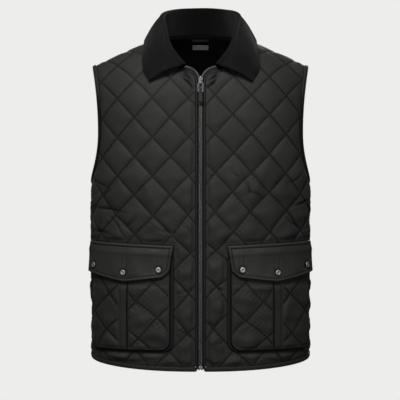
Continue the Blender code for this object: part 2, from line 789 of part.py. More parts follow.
def add_hem_binding(tape):
    """Binding along the hem, from one centre front edge round to the other."""
    profile = binding_profile()
    rings = []
    for face, edge in ((FRONT, hem_edge(FRONT, PANEL_EDGE)),
                       (BACK, hem_edge(BACK, 0.0)[-2::-1]),
                       (BACK, mirrored(hem_edge(BACK, 0.0)[1:-1], RIGHT)),
                       (FRONT, mirrored(hem_edge(FRONT, PANEL_EDGE)[::-1], RIGHT))):
        inward = np.tile((0.0, 1.0), (len(edge), 1))
        rings.append(edge_rings(face, edge, inward, profile))
    sweep("hem_binding", np.vstack(rings), tape)


def add_piping(side, tape):
    """Corded edge of one front, beside the zip and along the open neck."""
    path = zip_line(PIPING_PLACE, HEM_T - 0.0005)
    angle = np.linspace(0.0, 2.0 * math.pi, 7)[:-1]
    profile = np.stack((PIPING_RADIUS * np.cos(angle),
                        PIPING_RADIUS + PIPING_RADIUS * np.sin(angle)), axis=1)
    rings = edge_rings(FRONT, mirrored(path, side), mirrored(path_normals(path), side), profile)
    sweep("front_piping_" + SIDE_NAMES[side], rings, tape)


def add_zip_half(side, tape):
    """Tape with its tooth row, closed on the other half up to the slider."""
    path = zip_line(0.0)
    low = -TAPE_UNDER
    tape_top = low + TAPE_CLOTH
    profile = ((SEAM_GAP / 2.0, low), (TAPE_WIDTH, low), (TAPE_WIDTH, tape_top),
               (ROW_WIDTH + 0.0004, tape_top), (ROW_WIDTH, ROW_HEIGHT - 0.0007),
               (ROW_WIDTH - 0.0010, ROW_HEIGHT), (0.0010, ROW_HEIGHT),
               (SEAM_GAP / 2.0, ROW_HEIGHT - 0.0005))
    rings = edge_rings(FRONT, mirrored(path, side), mirrored(path_normals(path), side), profile)
    sweep("zip_half_" + SIDE_NAMES[side], rings, tape)


def frame_from(across, up):
    """Frame with y up the cloth and z off it, from two ways along the cloth."""
    up = Vector(up).normalized()
    out = Vector(across).cross(up).normalized()
    return Matrix((up.cross(out), up, out)).transposed().to_4x4()


def local_frame(face, s, t):
    """Frame on the inside of the cloth, and its spot."""
    near_s = np.array((s, s - STEP, s + STEP, s, s))
    near_t = np.array((t, t, t, t - STEP, t + STEP))
    spots = drape(face, near_s, near_t, np.zeros(5))
    return frame_from(spots[2] - spots[1], spots[4] - spots[3]), Vector(spots[0])


def placed(frame, spot):
    """Frame moved to a spot."""
    return Matrix.Translation(spot) @ frame


def add_box(name, size, centre, material, parent, bevel=0.0, collection=None):
    """Box with softened edges in its parent's frame."""
    mesh = bpy.data.meshes.new(name)
    shell = bmesh.new()
    bmesh.ops.create_cube(shell, size=1.0)
    bmesh.ops.scale(shell, vec=size, verts=shell.verts)
    if bevel > 0.0:
        bmesh.ops.bevel(shell, geom=shell.edges[:], offset=bevel, segments=1, affect="EDGES")
    shell.to_mesh(mesh)
    shell.free()
    mesh.materials.append(material)
    item = bpy.data.objects.new(name, mesh)
    item.parent = parent
    item.location = centre
    (collection or parts).objects.link(item)
    return item


def add_bail(radius, wire, centre, material, parent):
    """Wire arch that stands up along the zip, its feet sunk in the slider."""
    turns = np.linspace(-0.2, math.pi + 0.2, 12)
    small = np.linspace(0.0, 2.0 * math.pi, 9)[:-1]
    reach = radius + wire * np.cos(small)[None, :]
    across = np.broadcast_to(wire * np.sin(small), (len(turns), len(small)))
    rings = np.stack((across, reach * np.cos(turns)[:, None], reach * np.sin(turns)[:, None]),
                     axis=-1)
    item = sweep("slider_bail", rings, material)
    parts.objects.unlink(item)
    cutters.objects.link(item)
    item.parent = parent
    item.location = centre
    return item


def join_to(item, tool):
    """Joins a hidden tool shape to a piece."""
    tool.hide_render = True
    tool.display_type = "WIRE"
    change = item.modifiers.new("join_" + tool.name, "BOOLEAN")
    change.operation = "UNION"
    change.solver = "EXACT"
    change.object = tool


def add_slider(metal, tag):
    """Slider at the top of the closed rows, and the pull that swings on its bail."""
    turn_t = float(pattern_t(FRONT, 0.0, ZIP_TOP_Z)) + SLIDER_RISE
    frame, spot = local_frame(FRONT, 0.0, turn_t)
    seat = add_empty("slider_seat", placed(frame, spot))
    plate_z = SLIDER_PLATE_Z + 0.5 * SLIDER_PLATE[2]
    body = add_box("zip_slider", SLIDER_PLATE, (0.0, 0.0, plate_z), metal, seat, 0.0005)
    back = add_box("slider_back", SLIDER_BACK, (0.0, 0.0, SLIDER_BACK_Z), metal, seat, 0.0,
                   cutters)
    post_height = plate_z - SLIDER_BACK_Z
    post = add_box("slider_post", (SLIDER_POST[0], SLIDER_POST[1], post_height),
                   (0.0, 0.5 * SLIDER_PLATE[1] - 0.5 * SLIDER_POST[1] - 0.0004,
                    SLIDER_BACK_Z + 0.5 * post_height), metal, seat, 0.0, cutters)
    bail_z = SLIDER_PLATE_Z + SLIDER_PLATE[2] + BAIL_LIFT
    bail = add_bail(BAIL_RADIUS, BAIL_WIRE, (0.0, BAIL_Y, bail_z), metal, seat)
    for tool in (back, post, bail):
        join_to(body, tool)
    pivot_z = SLIDER_PLATE_Z + SLIDER_PLATE[2] + PIVOT_LIFT
    pivot = add_empty("zip_pull_pivot", placed(frame, spot + frame @ Vector((0.0, BAIL_Y, pivot_z))))
    add_link(metal, pivot)
    tag_y = -LINK_LENGTH - LINK_WIRE - TAG_GAP - 0.5 * TAG_SIZE[1]
    add_box("zip_pull_tag", TAG_SIZE, (0.0, tag_y, 0.0), tag, pivot, 0.0006)


def add_link(metal, pivot):
    """Wire loop of the pull, round the bail."""
    corner = 0.0018
    corners = ((-LINK_HALF, 0.0, corner), (LINK_HALF, 0.0, corner),
               (LINK_HALF, -LINK_LENGTH, corner), (-LINK_HALF, -LINK_LENGTH, corner))
    path = rounded(corners, 3)
    out = path - np.mean(path, axis=0)
    along = np.roll(path, -1, axis=0) - np.roll(path, 1, axis=0)
    along /= np.linalg.norm(along, axis=1, keepdims=True)
    side = np.stack((along[:, 1], -along[:, 0]), axis=1)
    side *= np.sign((side * out).sum(axis=1))[:, None]
    turns = np.linspace(0.0, 2.0 * math.pi, 9)[:-1]
    points = []
    for spot, way in zip(path, side):
        for turn in turns:
            flat = spot + way * LINK_WIRE * math.cos(turn)
            points.append((flat[0], flat[1], LINK_WIRE * math.sin(turn)))
    count = len(path)
    faces = []
    for ring in range(count):
        for spot in range(8):
            after = (spot + 1) % 8
            there = (ring + 1) % count * 8
            faces.append((ring * 8 + spot, ring * 8 + after, there + after, there + spot))
    add_solid("zip_pull_link", points, faces, metal, pivot)


def add_zip_box(metal):
    """Retaining box at the foot of the zip."""
    foot = ZIP_FOOT_T - SEAM_GAP - 0.5 * BOX_SIZE[2]
    frame, spot = local_frame(FRONT, 0.0, foot)
    seat = add_empty("zip_box_seat", placed(frame, spot))
    add_box("zip_box", (BOX_SIZE[0], BOX_SIZE[2], BOX_SIZE[1]), (0.0, 0.0, 0.0), metal, seat,
            0.0006)


def patch_loop(grow_in, grow_low, grow_out, top):
    """Pocket outline grown at its inner, lower and outer edges."""
    low = PATCH_T[0] - grow_low
    inner = PATCH_S[0] - grow_in
    outer = PATCH_S[1] + grow_out
    corners = ((inner, top, 0.001), (inner, low, PATCH_CORNER), (outer, low, PATCH_CORNER),
               (outer, top, 0.001))
    return rounded(corners, 4)


def refined(loop, step):
    """Loop with points added along its long runs."""
    points = []
    for first, second in zip(loop, np.roll(loop, -1, axis=0)):
        count = max(1, int(round(np.linalg.norm(second - first) / step)))
        for share in np.arange(count) / count:
            points.append(first + (second - first) * share)
    return np.array(points)


def add_gusset(side, cloth):
    """Bellows strip under the sides and the foot of a pocket."""
    top = PATCH_T[1] - 0.002
    outside = patch_loop(*GUSSET_OUT, top)
    narrow = [grow - GUSSET_WIDTH for grow in GUSSET_OUT]
    inside = patch_loop(*narrow, top)
    outside = refined(outside, 0.015)
    inside = refined(inside, 0.015)
    outside_run = open_at_top(outside)
    inside_run = open_at_top(inside)
    loop = mirrored(np.vstack((outside_run, inside_run[::-1])), side)
    none = np.zeros((0, 2))
    add_wall("pocket_gusset_" + SIDE_NAMES[side], FRONT, loop,
             (none, [], plain_height(GUSSET_H[1])), (none, [], plain_height(GUSSET_H[0])), cloth)


def open_at_top(loop):
    """Run of a pocket loop down one side, along the foot and up the other side."""
    top = loop[:, 1].max()
    on_top = loop[:, 1] > top - 0.0005
    between = on_top & (loop[:, 0] > loop[:, 0].min() + 0.003)
    between &= loop[:, 0] < loop[:, 0].max() - 0.003
    start = np.where(between)[0]
    loop = np.roll(loop, -(start[-1] + 1), axis=0) if len(start) else loop
    return loop[: len(loop) - len(start)]


def patch_band(low_s, high_s):
    """Loop of a band down the whole pocket."""
    return np.array(((low_s, PATCH_T[0]), (high_s, PATCH_T[0]), (high_s, PATCH_T[1]),
                     (low_s, PATCH_T[1])))


def add_patch(side, cloth):
    """Quilted pocket patch with a pleat down its middle, its quilting set anew beside the pleat."""
    loop = refined(patch_loop(0.0, 0.0, 0.0, PATCH_T[1]), 0.020)
    strip = patch_band(PLEAT_S[0], PLEAT_S[3])
    keep_off = [(closed_path(loop), 0.006), (closed_path(strip), 0.006)]
    points = np.zeros((0, 2))
    lines = []
    for origin, cover in ((PATCH_QUILT_INNER, patch_band(PLEAT_S[0], PATCH_S[1])),
                          (PATCH_QUILT_OUTER, patch_band(PATCH_S[0], PLEAT_S[3]))):
        spots, runs = quilt_grid(loop, origin, LEFT, [cover], keep_off)
        lines += [(len(points) + first, len(points) + last) for first, last in runs]
        points = np.vstack((points, spots))
    rise = np.arange(PATCH_T[0] + 0.008, PATCH_T[1] - 0.006, 0.020)
    pleat = []
    pleat_lines = []
    for s in PLEAT_S:
        first = len(points) + len(pleat)
        pleat += [(s, t) for t in rise]
        pleat_lines += [(first + spot, first + spot + 1) for spot in range(len(rise) - 1)]
    points = np.vstack((points, pleat))
    edge = closed_path(loop)

    def height(flat):
        s = np.abs(flat[:, 0])
        clean = np.stack((s, flat[:, 1]), axis=1)
        fade = smooth_step(0.001, 0.010, distance(clean, edge))
        fade *= smooth_step(0.0, 0.012, FLAP_POINTS[3][1] - 0.004 - flat[:, 1])
        off = np.maximum(PLEAT_S[0] - s, s - PLEAT_S[3])
        puff = np.where(s < PLEAT_S[1], pillow(PATCH_QUILT_INNER, clean),
                        pillow(PATCH_QUILT_OUTER, clean))
        puff = PATCH_PUFF * puff * smooth_step(0.0, 0.008, off)
        on_pleat = (s > PLEAT_S[0] + 0.0005) & (s < PLEAT_S[3] - 0.0005)
        return PATCH_H[1] + fade * (puff + PLEAT_RISE * on_pleat)

    inner = plain_grid(loop, (0.017, 0.045), (), [(closed_path(loop), 0.007)])
    add_wall("pocket_" + SIDE_NAMES[side], FRONT, mirrored(loop, side),
             (mirrored(points, side), lines + pleat_lines, height),
             (mirrored(inner, side), [], plain_height(PATCH_H[0])), cloth)


def flap_under(flat):
    """Height of a flap's underside: sewn down at its top, over the pocket and lifting below."""
    s = np.abs(flat[:, 0])
    slope = (FLAP_POINTS[1][1] - FLAP_POINTS[0][1]) / (FLAP_POINTS[1][0] - FLAP_POINTS[0][0])
    top = FLAP_POINTS[0][1] + slope * (s - FLAP_POINTS[0][0])
    below = top - flat[:, 1]
    ramp = smooth_step(0.003, 0.022, below)
    lift = FLAP_LIFT * smooth_step(0.030, 0.080, below)
    start = CLOTH + LAYER_GAP
    return start + (PATCH_H[1] + LAYER_GAP - start) * ramp + lift


def inset(loop, depth):
    """Loop moved inward by a depth."""
    along = np.roll(loop, -1, axis=0) - np.roll(loop, 1, axis=0)
    along /= np.linalg.norm(along, axis=1, keepdims=True)
    way = np.stack((-along[:, 1], along[:, 0]), axis=1)
    turn = np.sum(loop[:, 0] * np.roll(loop[:, 1], -1) - np.roll(loop[:, 0], -1) * loop[:, 1])
    moved = loop + way * depth * math.copysign(1.0, turn)
    keep = within(moved, loop) & (distance(moved, closed_path(loop)) > 0.8 * depth)
    return moved[keep]


def add_flap(side, cloth):
    """Pocket flap with a rolled edge and a pointed lower edge."""
    loop = refined(rounded(FLAP_POINTS, 3), 0.016)
    groove = inset(loop, FLAP_BEAD_WIDTH)
    seats = [np.array((s, t)) + SNAP_SEAT * np.array(way) for _, s, t in SNAPS for way in SEAT_WAYS]
    seat_paths = [(np.array(((s, t), (s, t + STEP))), SNAP_SEAT + 0.004) for _, s, t in SNAPS]
    groove = groove[clear_of(groove, (), seat_paths)]
    middle = plain_grid(loop, (0.019, 0.016), (), [(closed_path(loop), 0.010)] + seat_paths)
    edge = closed_path(loop)

    def height(flat):
        clean = np.stack((np.abs(flat[:, 0]), flat[:, 1]), axis=1)
        off = distance(clean, edge)
        bead = FLAP_BEAD * (1.0 - smooth_step(0.0, FLAP_BEAD_WIDTH, off))
        return flap_under(clean) + FLAP_CLOTH + bead

    def under(flat):
        return flap_under(np.stack((np.abs(flat[:, 0]), flat[:, 1]), axis=1))

    points = mirrored(np.vstack((groove, middle, seats)), side)
    add_wall("pocket_flap_" + SIDE_NAMES[side], FRONT, mirrored(loop, side),
             (points, [], height), (points, [], under), cloth)


def add_snap(side, place, s, t, metal):
    """Domed snap cap on a flap."""
    flat = np.array(((s, t),))
    near = flat + ((0.0, 0.0), (0.0, STEP), (STEP, 0.0))
    h = flap_under(near) + FLAP_CLOTH + SEAM_GAP
    spots = drape(FRONT, side * near[:, 0], near[:, 1], h)
    frame = frame_from(spots[2] * side - spots[0] * side, spots[1] - spots[0])
    spot = Vector(spots[0])
    seat = add_empty("snap_seat_" + SIDE_NAMES[side] + "_" + place, placed(frame, spot))
    turns = np.linspace(0.0, 2.0 * math.pi, SNAP_TURNS + 1)[:-1]
    rings = [[(radius * math.cos(turn), radius * math.sin(turn), height) for turn in turns]
             for radius, height in SNAP_PROFILE[1:-1]]
    points = [point for ring in rings for point in ring]
    faces = []
    for ring in range(len(rings) - 1):
        for spot_index in range(SNAP_TURNS):
            after = (spot_index + 1) % SNAP_TURNS
            low = ring * SNAP_TURNS
            high = low + SNAP_TURNS
            faces.append((low + spot_index, low + after, high + after, high + spot_index))
    faces.append(tuple(range(SNAP_TURNS)))
    tip = len(points)
    points.append((0.0, 0.0, SNAP_PROFILE[-1][1]))
    last = tip - SNAP_TURNS
    for spot_index in range(SNAP_TURNS):
        faces.append((last + spot_index, last + (spot_index + 1) % SNAP_TURNS, tip))
    add_solid("snap_" + SIDE_NAMES[side] + "_" + place, points, faces, metal, seat)


def key_curve(places, values, at):
    """Smooth curve through key points, square to the centre line at its start."""
    places = np.asarray(places)
    values = np.asarray(values)
    slopes = np.gradient(values, places, axis=0)
    slopes[0, 1:] = 0.0
    spot = np.clip(np.searchsorted(places, at, side="right") - 1, 0, len(places) - 2)
    width = (places[spot + 1] - places[spot])[:, None]
    share = (at - places[spot])[:, None] / width
    first = values[spot] * (1.0 + 2.0 * share) * (1.0 - share) ** 2
    second = values[spot + 1] * share ** 2 * (3.0 - 2.0 * share)
    third = slopes[spot] * width * share * (1.0 - share) ** 2
    fourth = slopes[spot + 1] * width * share ** 2 * (share - 1.0)
    return first + second + third + fourth


def neck_seam(places, h):
    """Points of the neckline, 0 at the centre back and 1 at the front end, raised by h."""
    back = back_neck()[::-1]
    front = front_neck()[::-1]
    points = np.zeros((len(places), 3))
    for face, path, low, high in ((BACK, back, 0.0, COLLAR_BACK_SHARE),
                                  (FRONT, front, COLLAR_BACK_SHARE, 1.0)):
        use = (places >= low) & (places <= high)
        share = (places[use] - low) / (high - low)
        arc = np.concatenate(([0.0], np.cumsum(np.linalg.norm(np.diff(path, axis=0), axis=1))))
        s = np.interp(share * arc[-1], arc, path[:, 0])
        t = np.interp(share * arc[-1], arc, path[:, 1])
        points[use] = drape(face, s, t, np.full(len(s), h))
    return points


def collar_edge_keys():
    """Key points of the collar's outer edge, lying over the panels."""
    keys = []
    for _, face, s, z in COLLAR_EDGE:
        t = float(pattern_t(face, s, z))
        keys.append(drape(face, np.array([s]), np.array([t]), np.array([COLLAR_EDGE_H]))[0])
    return np.array(keys)


def add_collar(cloth):
    """Turn-down collar: up from the neck seam, over the roll and down to its outer edge."""
    place = np.linspace(0.0, 1.0, COLLAR_COLUMNS // 2 + 1)
    seam = neck_seam(place, COLLAR_SEAM_H)
    roll_keys = np.array([row[1:] for row in COLLAR_ROLL])
    roll = key_curve([row[0] for row in COLLAR_ROLL], roll_keys, place)
    edge = key_curve([row[0] for row in COLLAR_EDGE], collar_edge_keys(), place)
    lean = roll - seam
    lean /= np.linalg.norm(lean, axis=1, keepdims=True)
    out = edge - roll
    out = out - (out * lean).sum(axis=1, keepdims=True) * lean
    out /= np.linalg.norm(out, axis=1, keepdims=True)
    radius = COLLAR_ROLL_RADIUS
    inner = roll - out * radius - lean * radius
    outer = roll + out * radius - lean * radius
    rows = [seam, seam + (inner - seam) * 0.5, inner]
    for turn in (0.25, 0.5, 0.75):
        angle = math.pi * turn
        rows.append(roll - lean * radius - out * radius * math.cos(angle)
                    + lean * radius * math.sin(angle))
    fall = edge - outer
    bulge = np.interp(place, (0.2, 0.6), COLLAR_BULGE)[:, None]
    rows.append(outer)
    for share in (0.33, 0.67):
        rows.append(outer + fall * share + lean * bulge * 4.0 * share * (1.0 - share))
    rows.append(edge)
    half = np.stack(rows, axis=1)
    flip = np.array((-1.0, 1.0, 1.0))
    grid = np.vstack((half[::-1], half[1:] * flip))
    count, size = grid.shape[:2]
    faces = []
    for column in range(count - 1):
        for row in range(size - 1):
            spot = column * size + row
            faces.append((spot, spot + 1, spot + size + 1, spot + size))
    mesh = bpy.data.meshes.new("collar")
    mesh.from_pydata([tuple(point) for point in grid.reshape(-1, 3)], [], faces)
    mesh.materials.append(cloth)
    item = bpy.data.objects.new("collar", mesh)
    parts.objects.link(item)
    wall = item.modifiers.new("cloth", "SOLIDIFY")
    wall.thickness = COLLAR_CLOTH
    wall.offset = 0.0
    wall.use_even_offset = True


def trim_loop(half, below):
    """Outline of a flat trim below the back neck seam."""
    nape = float(pattern_t(BACK, 0.0, BACK_NECK_Z))
    corners = np.array(((-half, nape - below[1]), (half, nape - below[1]),
                        (half, nape - below[0]), (-half, nape - below[0])))
    return refined(corners, 0.009)


def add_neck_trim(name, half, below, material):
    """Flat trim on the inside of the back below the neck seam."""
    none = np.zeros((0, 2))
    add_wall(name, BACK, trim_loop(half, below), (none, [], plain_height(TRIM_H[1])),
             (none, [], plain_height(TRIM_H[0])), material)


remove_all()
parts = new_collection("gilet")
cutters = new_collection("cutters")
cutters.hide_render = True
quilted_nylon = new_material("quilted_nylon")
needlecord = new_material("needlecord")
edge_tape = new_material("edge_tape")
zip_tape = new_material("zip_tape")
steel = new_material("steel")
rubber_tag = new_material("rubber_tag")
label_cloth = new_material("label_cloth")
for part_side in (RIGHT, LEFT):
    add_front(part_side, quilted_nylon)
    add_armhole_binding(part_side, edge_tape)
    add_piping(part_side, edge_tape)
    add_zip_half(part_side, zip_tape)
    add_gusset(part_side, edge_tape)
    add_patch(part_side, quilted_nylon)
    add_flap(part_side, quilted_nylon)
    for snap_place, snap_s, snap_t in SNAPS:
        add_snap(part_side, snap_place, snap_s, snap_t, steel)
add_back(quilted_nylon)
add_hem_binding(edge_tape)
add_collar(needlecord)
add_slider(steel, rubber_tag)
add_zip_box(steel)
add_neck_trim("neck_label", LABEL_HALF, LABEL_T_BELOW, label_cloth)
add_neck_trim("hanger_loop", LOOP_HALF, LOOP_T_BELOW, edge_tape)
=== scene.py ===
import math

import bpy
import numpy as np
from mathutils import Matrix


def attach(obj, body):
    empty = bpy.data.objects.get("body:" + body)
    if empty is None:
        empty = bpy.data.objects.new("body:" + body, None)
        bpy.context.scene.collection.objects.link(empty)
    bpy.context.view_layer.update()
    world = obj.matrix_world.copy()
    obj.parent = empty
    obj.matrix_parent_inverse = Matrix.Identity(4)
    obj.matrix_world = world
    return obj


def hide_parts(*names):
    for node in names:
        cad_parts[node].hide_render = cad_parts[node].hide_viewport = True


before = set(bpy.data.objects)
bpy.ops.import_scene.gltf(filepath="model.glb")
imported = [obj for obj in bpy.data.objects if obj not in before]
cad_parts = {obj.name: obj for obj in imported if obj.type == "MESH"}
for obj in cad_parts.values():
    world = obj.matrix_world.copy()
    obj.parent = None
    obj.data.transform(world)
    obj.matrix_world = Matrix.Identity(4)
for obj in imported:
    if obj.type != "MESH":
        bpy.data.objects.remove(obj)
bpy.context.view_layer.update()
print("frame:", len(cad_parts), "nodes")

front, back = -1, 1  # the two faces of the garment
left, right = 1, -1  # the wearer's sides, left is +X
sideNames = {left: "left", right: "right"}
body = "gilet"

# worn form on the inside of the cloth: s across from the centre line, t up the cut, h off the cloth
form = {
    "levels": ((-0.717, 0.2335, 0.118, 0.108),  # height, half width, front depth, back depth
               (-0.520, 0.2330, 0.119, 0.106),
               (-0.317, 0.2340, 0.121, 0.109),
               (-0.150, 0.2340, 0.120, 0.111)),
    "squareness": 2.4,
    "hem": -0.7185,
    "hemRise": 0.022,
    "hemCurve": 2.2,
    "underarm": -0.3170,
    "neckHalf": 0.081,
    "tip": 0.2335,
    "slope": 0.440,
    "drop": 0.005,
    "round": 0.02,
    "napeRise": 0.030,
    "napeZ": 0.004,
    "bend": {front: 0.14, back: 0.12},
    "armMid": {front: 0.2310, back: 0.2330},
    "armRise": {front: 0.100, back: 0.115},
    "seamGap": 0.0003,
    "seamMeet": 0.0004,  # cloth taken past a sewn seam so that it closes
    "cloth": 0.0030,
    "split": 0.58,  # share of a panel's rows below the underarm
}
folds = (  # face, s, t, turn in degrees, half length, half width, depth: soft drags in the cloth
    (front, -0.255, -0.372, 14.0, 0.045, 0.011, 0.0030),
    (front, -0.235, -0.418, -9.0, 0.040, 0.010, 0.0024),
    (front, 0.250, -0.365, -18.0, 0.045, 0.011, 0.0028),
    (front, 0.120, -0.330, 62.0, 0.050, 0.012, 0.0022),
    (front, -0.110, -0.345, -58.0, 0.045, 0.012, 0.0022),
    (back, 0.215, -0.390, 16.0, 0.060, 0.013, 0.0030),
    (back, -0.205, -0.420, -13.0, 0.060, 0.013, 0.0030),
    (back, 0.030, -0.470, 7.0, 0.080, 0.015, 0.0026),
    (back, -0.060, -0.140, -6.0, 0.055, 0.014, 0.0022),
)
creases = (  # face, s, t, turn in degrees, half length, half width, depth (below 0 is a trough)
    (front, -0.0250, -0.1180, -41.0, 0.0170, 0.0020, -0.0040),
    (front, -0.0270, -0.1110, -34.0, 0.0130, 0.0028, 0.0022),
    (front, -0.0265, -0.1050, -36.0, 0.0160, 0.0019, -0.0036),
    (front, -0.0275, -0.0990, -29.0, 0.0100, 0.0024, 0.0018),
    (front, -0.0310, -0.0950, -40.0, 0.0150, 0.0019, -0.0034),
    (front, -0.0345, -0.0860, -42.0, 0.0110, 0.0018, -0.0030),
    (front, 0.0245, -0.1178, 46.0, 0.0170, 0.0020, -0.0040),
    (front, 0.0270, -0.1105, 36.0, 0.0130, 0.0028, 0.0022),
    (front, 0.0270, -0.1045, 38.0, 0.0160, 0.0019, -0.0035),
    (front, 0.0280, -0.0980, 31.0, 0.0100, 0.0024, 0.0017),
    (front, 0.0315, -0.0940, 42.0, 0.0150, 0.0019, -0.0033),
    (front, 0.0350, -0.0850, 40.0, 0.0110, 0.0018, -0.0030),
    (front, -0.203, -0.381, -8.0, 0.042, 0.0034, -0.0024),
    (front, -0.222, -0.327, -30.0, 0.026, 0.0034, -0.0021),
    (front, -0.248, -0.352, 24.0, 0.024, 0.0034, -0.0017),
    (front, -0.215, -0.430, -16.0, 0.032, 0.0036, -0.0020),
    (front, -0.150, -0.412, 52.0, 0.022, 0.0034, -0.0016),
    (front, -0.070, -0.428, -20.0, 0.024, 0.0034, -0.0014),
    (front, -0.048, -0.560, 24.0, 0.022, 0.0036, -0.0017),
    (front, -0.036, -0.640, -30.0, 0.022, 0.0036, -0.0016),
    (front, -0.150, -0.700, 6.0, 0.050, 0.0036, -0.0012),
    (front, 0.0985, -0.334, -75.0, 0.021, 0.0034, -0.0018),
    (front, 0.120, -0.352, -28.0, 0.022, 0.0032, -0.0018),
    (front, 0.230, -0.366, 10.0, 0.032, 0.0034, -0.0024),
    (front, 0.215, -0.312, 34.0, 0.026, 0.0034, -0.0018),
    (front, 0.195, -0.405, -34.0, 0.028, 0.0034, -0.0020),
    (front, 0.252, -0.418, 12.0, 0.026, 0.0036, -0.0018),
    (front, 0.040, -0.545, -30.0, 0.022, 0.0036, -0.0016),
    (front, 0.046, -0.655, 28.0, 0.022, 0.0036, -0.0016),
    (front, 0.160, -0.700, -5.0, 0.050, 0.0036, -0.0012),
    (front, -0.2075, -0.3502, 44.0, 0.017, 0.0032, -0.0020),
    (front, -0.2223, -0.4128, 54.0, 0.020, 0.0032, -0.0017),
    (front, -0.1760, -0.4190, -49.0, 0.026, 0.0034, -0.0018),
    (front, -0.0273, -0.4227, -38.0, 0.011, 0.0030, -0.0015),
    (front, 0.2038, -0.4017, -60.0, 0.032, 0.0034, -0.0018),
    (front, 0.2175, -0.3502, -53.0, 0.015, 0.0032, -0.0019),
    (front, 0.0745, -0.3097, -47.0, 0.013, 0.0030, -0.0015),
    (back, 0.240, -0.372, 20.0, 0.045, 0.0040, -0.0024),
    (back, 0.205, -0.420, -12.0, 0.038, 0.0040, -0.0020),
    (back, -0.235, -0.398, -18.0, 0.045, 0.0040, -0.0024),
    (back, -0.190, -0.345, 26.0, 0.034, 0.0040, -0.0018),
    (back, 0.060, -0.500, 9.0, 0.060, 0.0045, -0.0020),
    (back, -0.095, -0.545, -14.0, 0.050, 0.0045, -0.0020),
    (back, 0.120, -0.640, 14.0, 0.040, 0.0045, -0.0018),
    (back, -0.040, -0.660, -7.0, 0.050, 0.0045, -0.0016),
    (back, -0.100, -0.105, -12.0, 0.040, 0.0045, -0.0016),
)
quilt = {
    "across": 0.0385,  # half diamond across and up
    "up": 0.0408,
    "origin": {(front, left): (0.0303, -0.2226),
               (front, right): (0.0245, -0.2290),
               (back, left): (0.0, -0.2226)},
    "puff": 0.0044,
    "lineRound": 0.0011,
    "lineReach": 0.0058,
    "wander": (0.020, 0.085),  # drift of the lines high up and low down, in half diamonds
    "pucker": 0.00022,
    "wrinkle": (0.0003, 0.0014),
    "step": {front: 0.0020, back: 0.0024},
    "coarse": 6,
    "seamFade": (0.001, 0.010),
    "edgeFlat": 0.0030,  # stitched flat beside the zip
    "boundFade": (0.0085, 0.012),
    "span": {front: (0.283, 0.74), back: (0.573, 0.76)},  # cut across and up, for the grid
    "loose": (-0.25, -0.55),  # heights between which the pads slacken
    "shares": (0.72, 0.24),  # shoulder and crown of a pad
    "uneven": (0.10, 0.16),  # from pad to pad, high up and more low down
    "lean": (0.12, 0.25),
    "topRise": (0.55, -0.06, -0.34),  # pads lie flatter near the shoulder
    "gather": (0.0085, 0.007),  # pitch and reach of the puckers along a sewn line
    "creaseFree": (0.001, 0.005),
    "deepest": -0.0018,
    "creaseShade": (0.78, 0.0007, 0.0026),  # painted shade: strength, then where it starts and is full
    "boundShade": (0.55, 0.0118, 0.0085),
    "pocketShade": (0.52, 0.0044, 0.0008),
    "flapShade": (0.60, 0.0042, 0.0006),
    "napeShade": (1.0, 0.012, 0.003),
    "neckShade": (0.45, 0.027, 0.013, -0.098, 0.014),  # strength, then place and reach across and up
}


def smoothStep(low, high, value):
    share = np.clip((value - low) / (high - low), 0.0, 1.0)
    return share * share * (3.0 - 2.0 * share)


def arcOf(path):  # lengths along a path from its start
    return np.concatenate(([0.0], np.cumsum(np.linalg.norm(np.diff(path, axis=0), axis=1))))


def unit(ways):
    return ways / np.linalg.norm(ways, axis=-1, keepdims=True)


def bell(value, middle, width):
    return np.exp(-((value - middle) / width) ** 2)


def signedPower(value, power):
    return np.sign(value) * np.abs(value) ** power


def turnAngles(count):  # even angles round a circle
    return np.linspace(0.0, 2.0 * math.pi, count + 1)[:-1]


def atPath(places, arc, path):  # points of a flat path at lengths along it
    return np.stack([np.interp(places, arc, path[:, axis]) for axis in (0, 1)], axis=1)


def softNoise(a, b, seed):  # sum of sine waves with set turns, pitches and phases
    rng = np.random.default_rng(seed)
    total, waves = 0.0, 9
    for turn, pitch, phase in rng.uniform((0.0, 0.6, 0.0), (3.14, 1.5, 6.28), (waves, 3)):
        total = total + np.sin(6.28 * pitch * (a * math.cos(turn) + b * math.sin(turn)) + phase)
    return total / math.sqrt(waves)


def cellValue(first, second, seed):  # even spread of 0 to 1 from two whole numbers
    mixed = np.sin(first * 127.1 + second * 311.7 + seed * 74.7) * 43758.5453
    return mixed - np.floor(mixed)


# quarter section |x|^k + |y|^k = 1 as shares of its own arc
levelZ, levelWidth, levelFront, levelBack = np.array(form["levels"]).T
levelDepth = {front: levelFront, back: levelBack}
depthRatio = {face: float(np.mean(levelDepth[face] / levelWidth)) for face in (front, back)}
turns = np.linspace(0.0, math.pi / 2.0, 2400)
unitX = np.sin(turns) ** (2.0 / form["squareness"])
unitY = np.clip(np.cos(turns), 0.0, 1.0) ** (2.0 / form["squareness"])
unitArc = {face: arcOf(np.stack((unitX, depthRatio[face] * unitY), axis=1)) for face in (front, back)}
gaussNodes, gaussWeights = np.polynomial.legendre.leggauss(8)


def section(face, s, z):  # point of the level section at arc s, and the arc to the side seam
    width = np.interp(z, levelZ, levelWidth)
    depth = np.interp(z, levelZ, levelDepth[face])
    arc = unitArc[face][-1] * (width + depth) / (1.0 + depthRatio[face])
    share = s / arc
    shares = unitArc[face] / unitArc[face][-1]
    past = np.maximum(share - 1.0, 0.0) * arc
    return width * np.interp(share, shares, unitX), depth * np.interp(share, shares, unitY) - past, arc


def sideSeam(face, z):
    return section(face, np.zeros_like(np.asarray(z, dtype=float)), z)[2]


def ridge(face, s):  # shoulder line: level at the neck, then falling; the back rises to the nape
    past = s - form["neckHalf"]
    top = -form["drop"] - form["slope"] * 0.5 * (past + np.hypot(past, form["round"]))
    if face == back:
        top = top + form["napeRise"] * np.clip(1.0 - (s / form["neckHalf"]) ** 2, 0.0, 1.0) ** 2
    return top


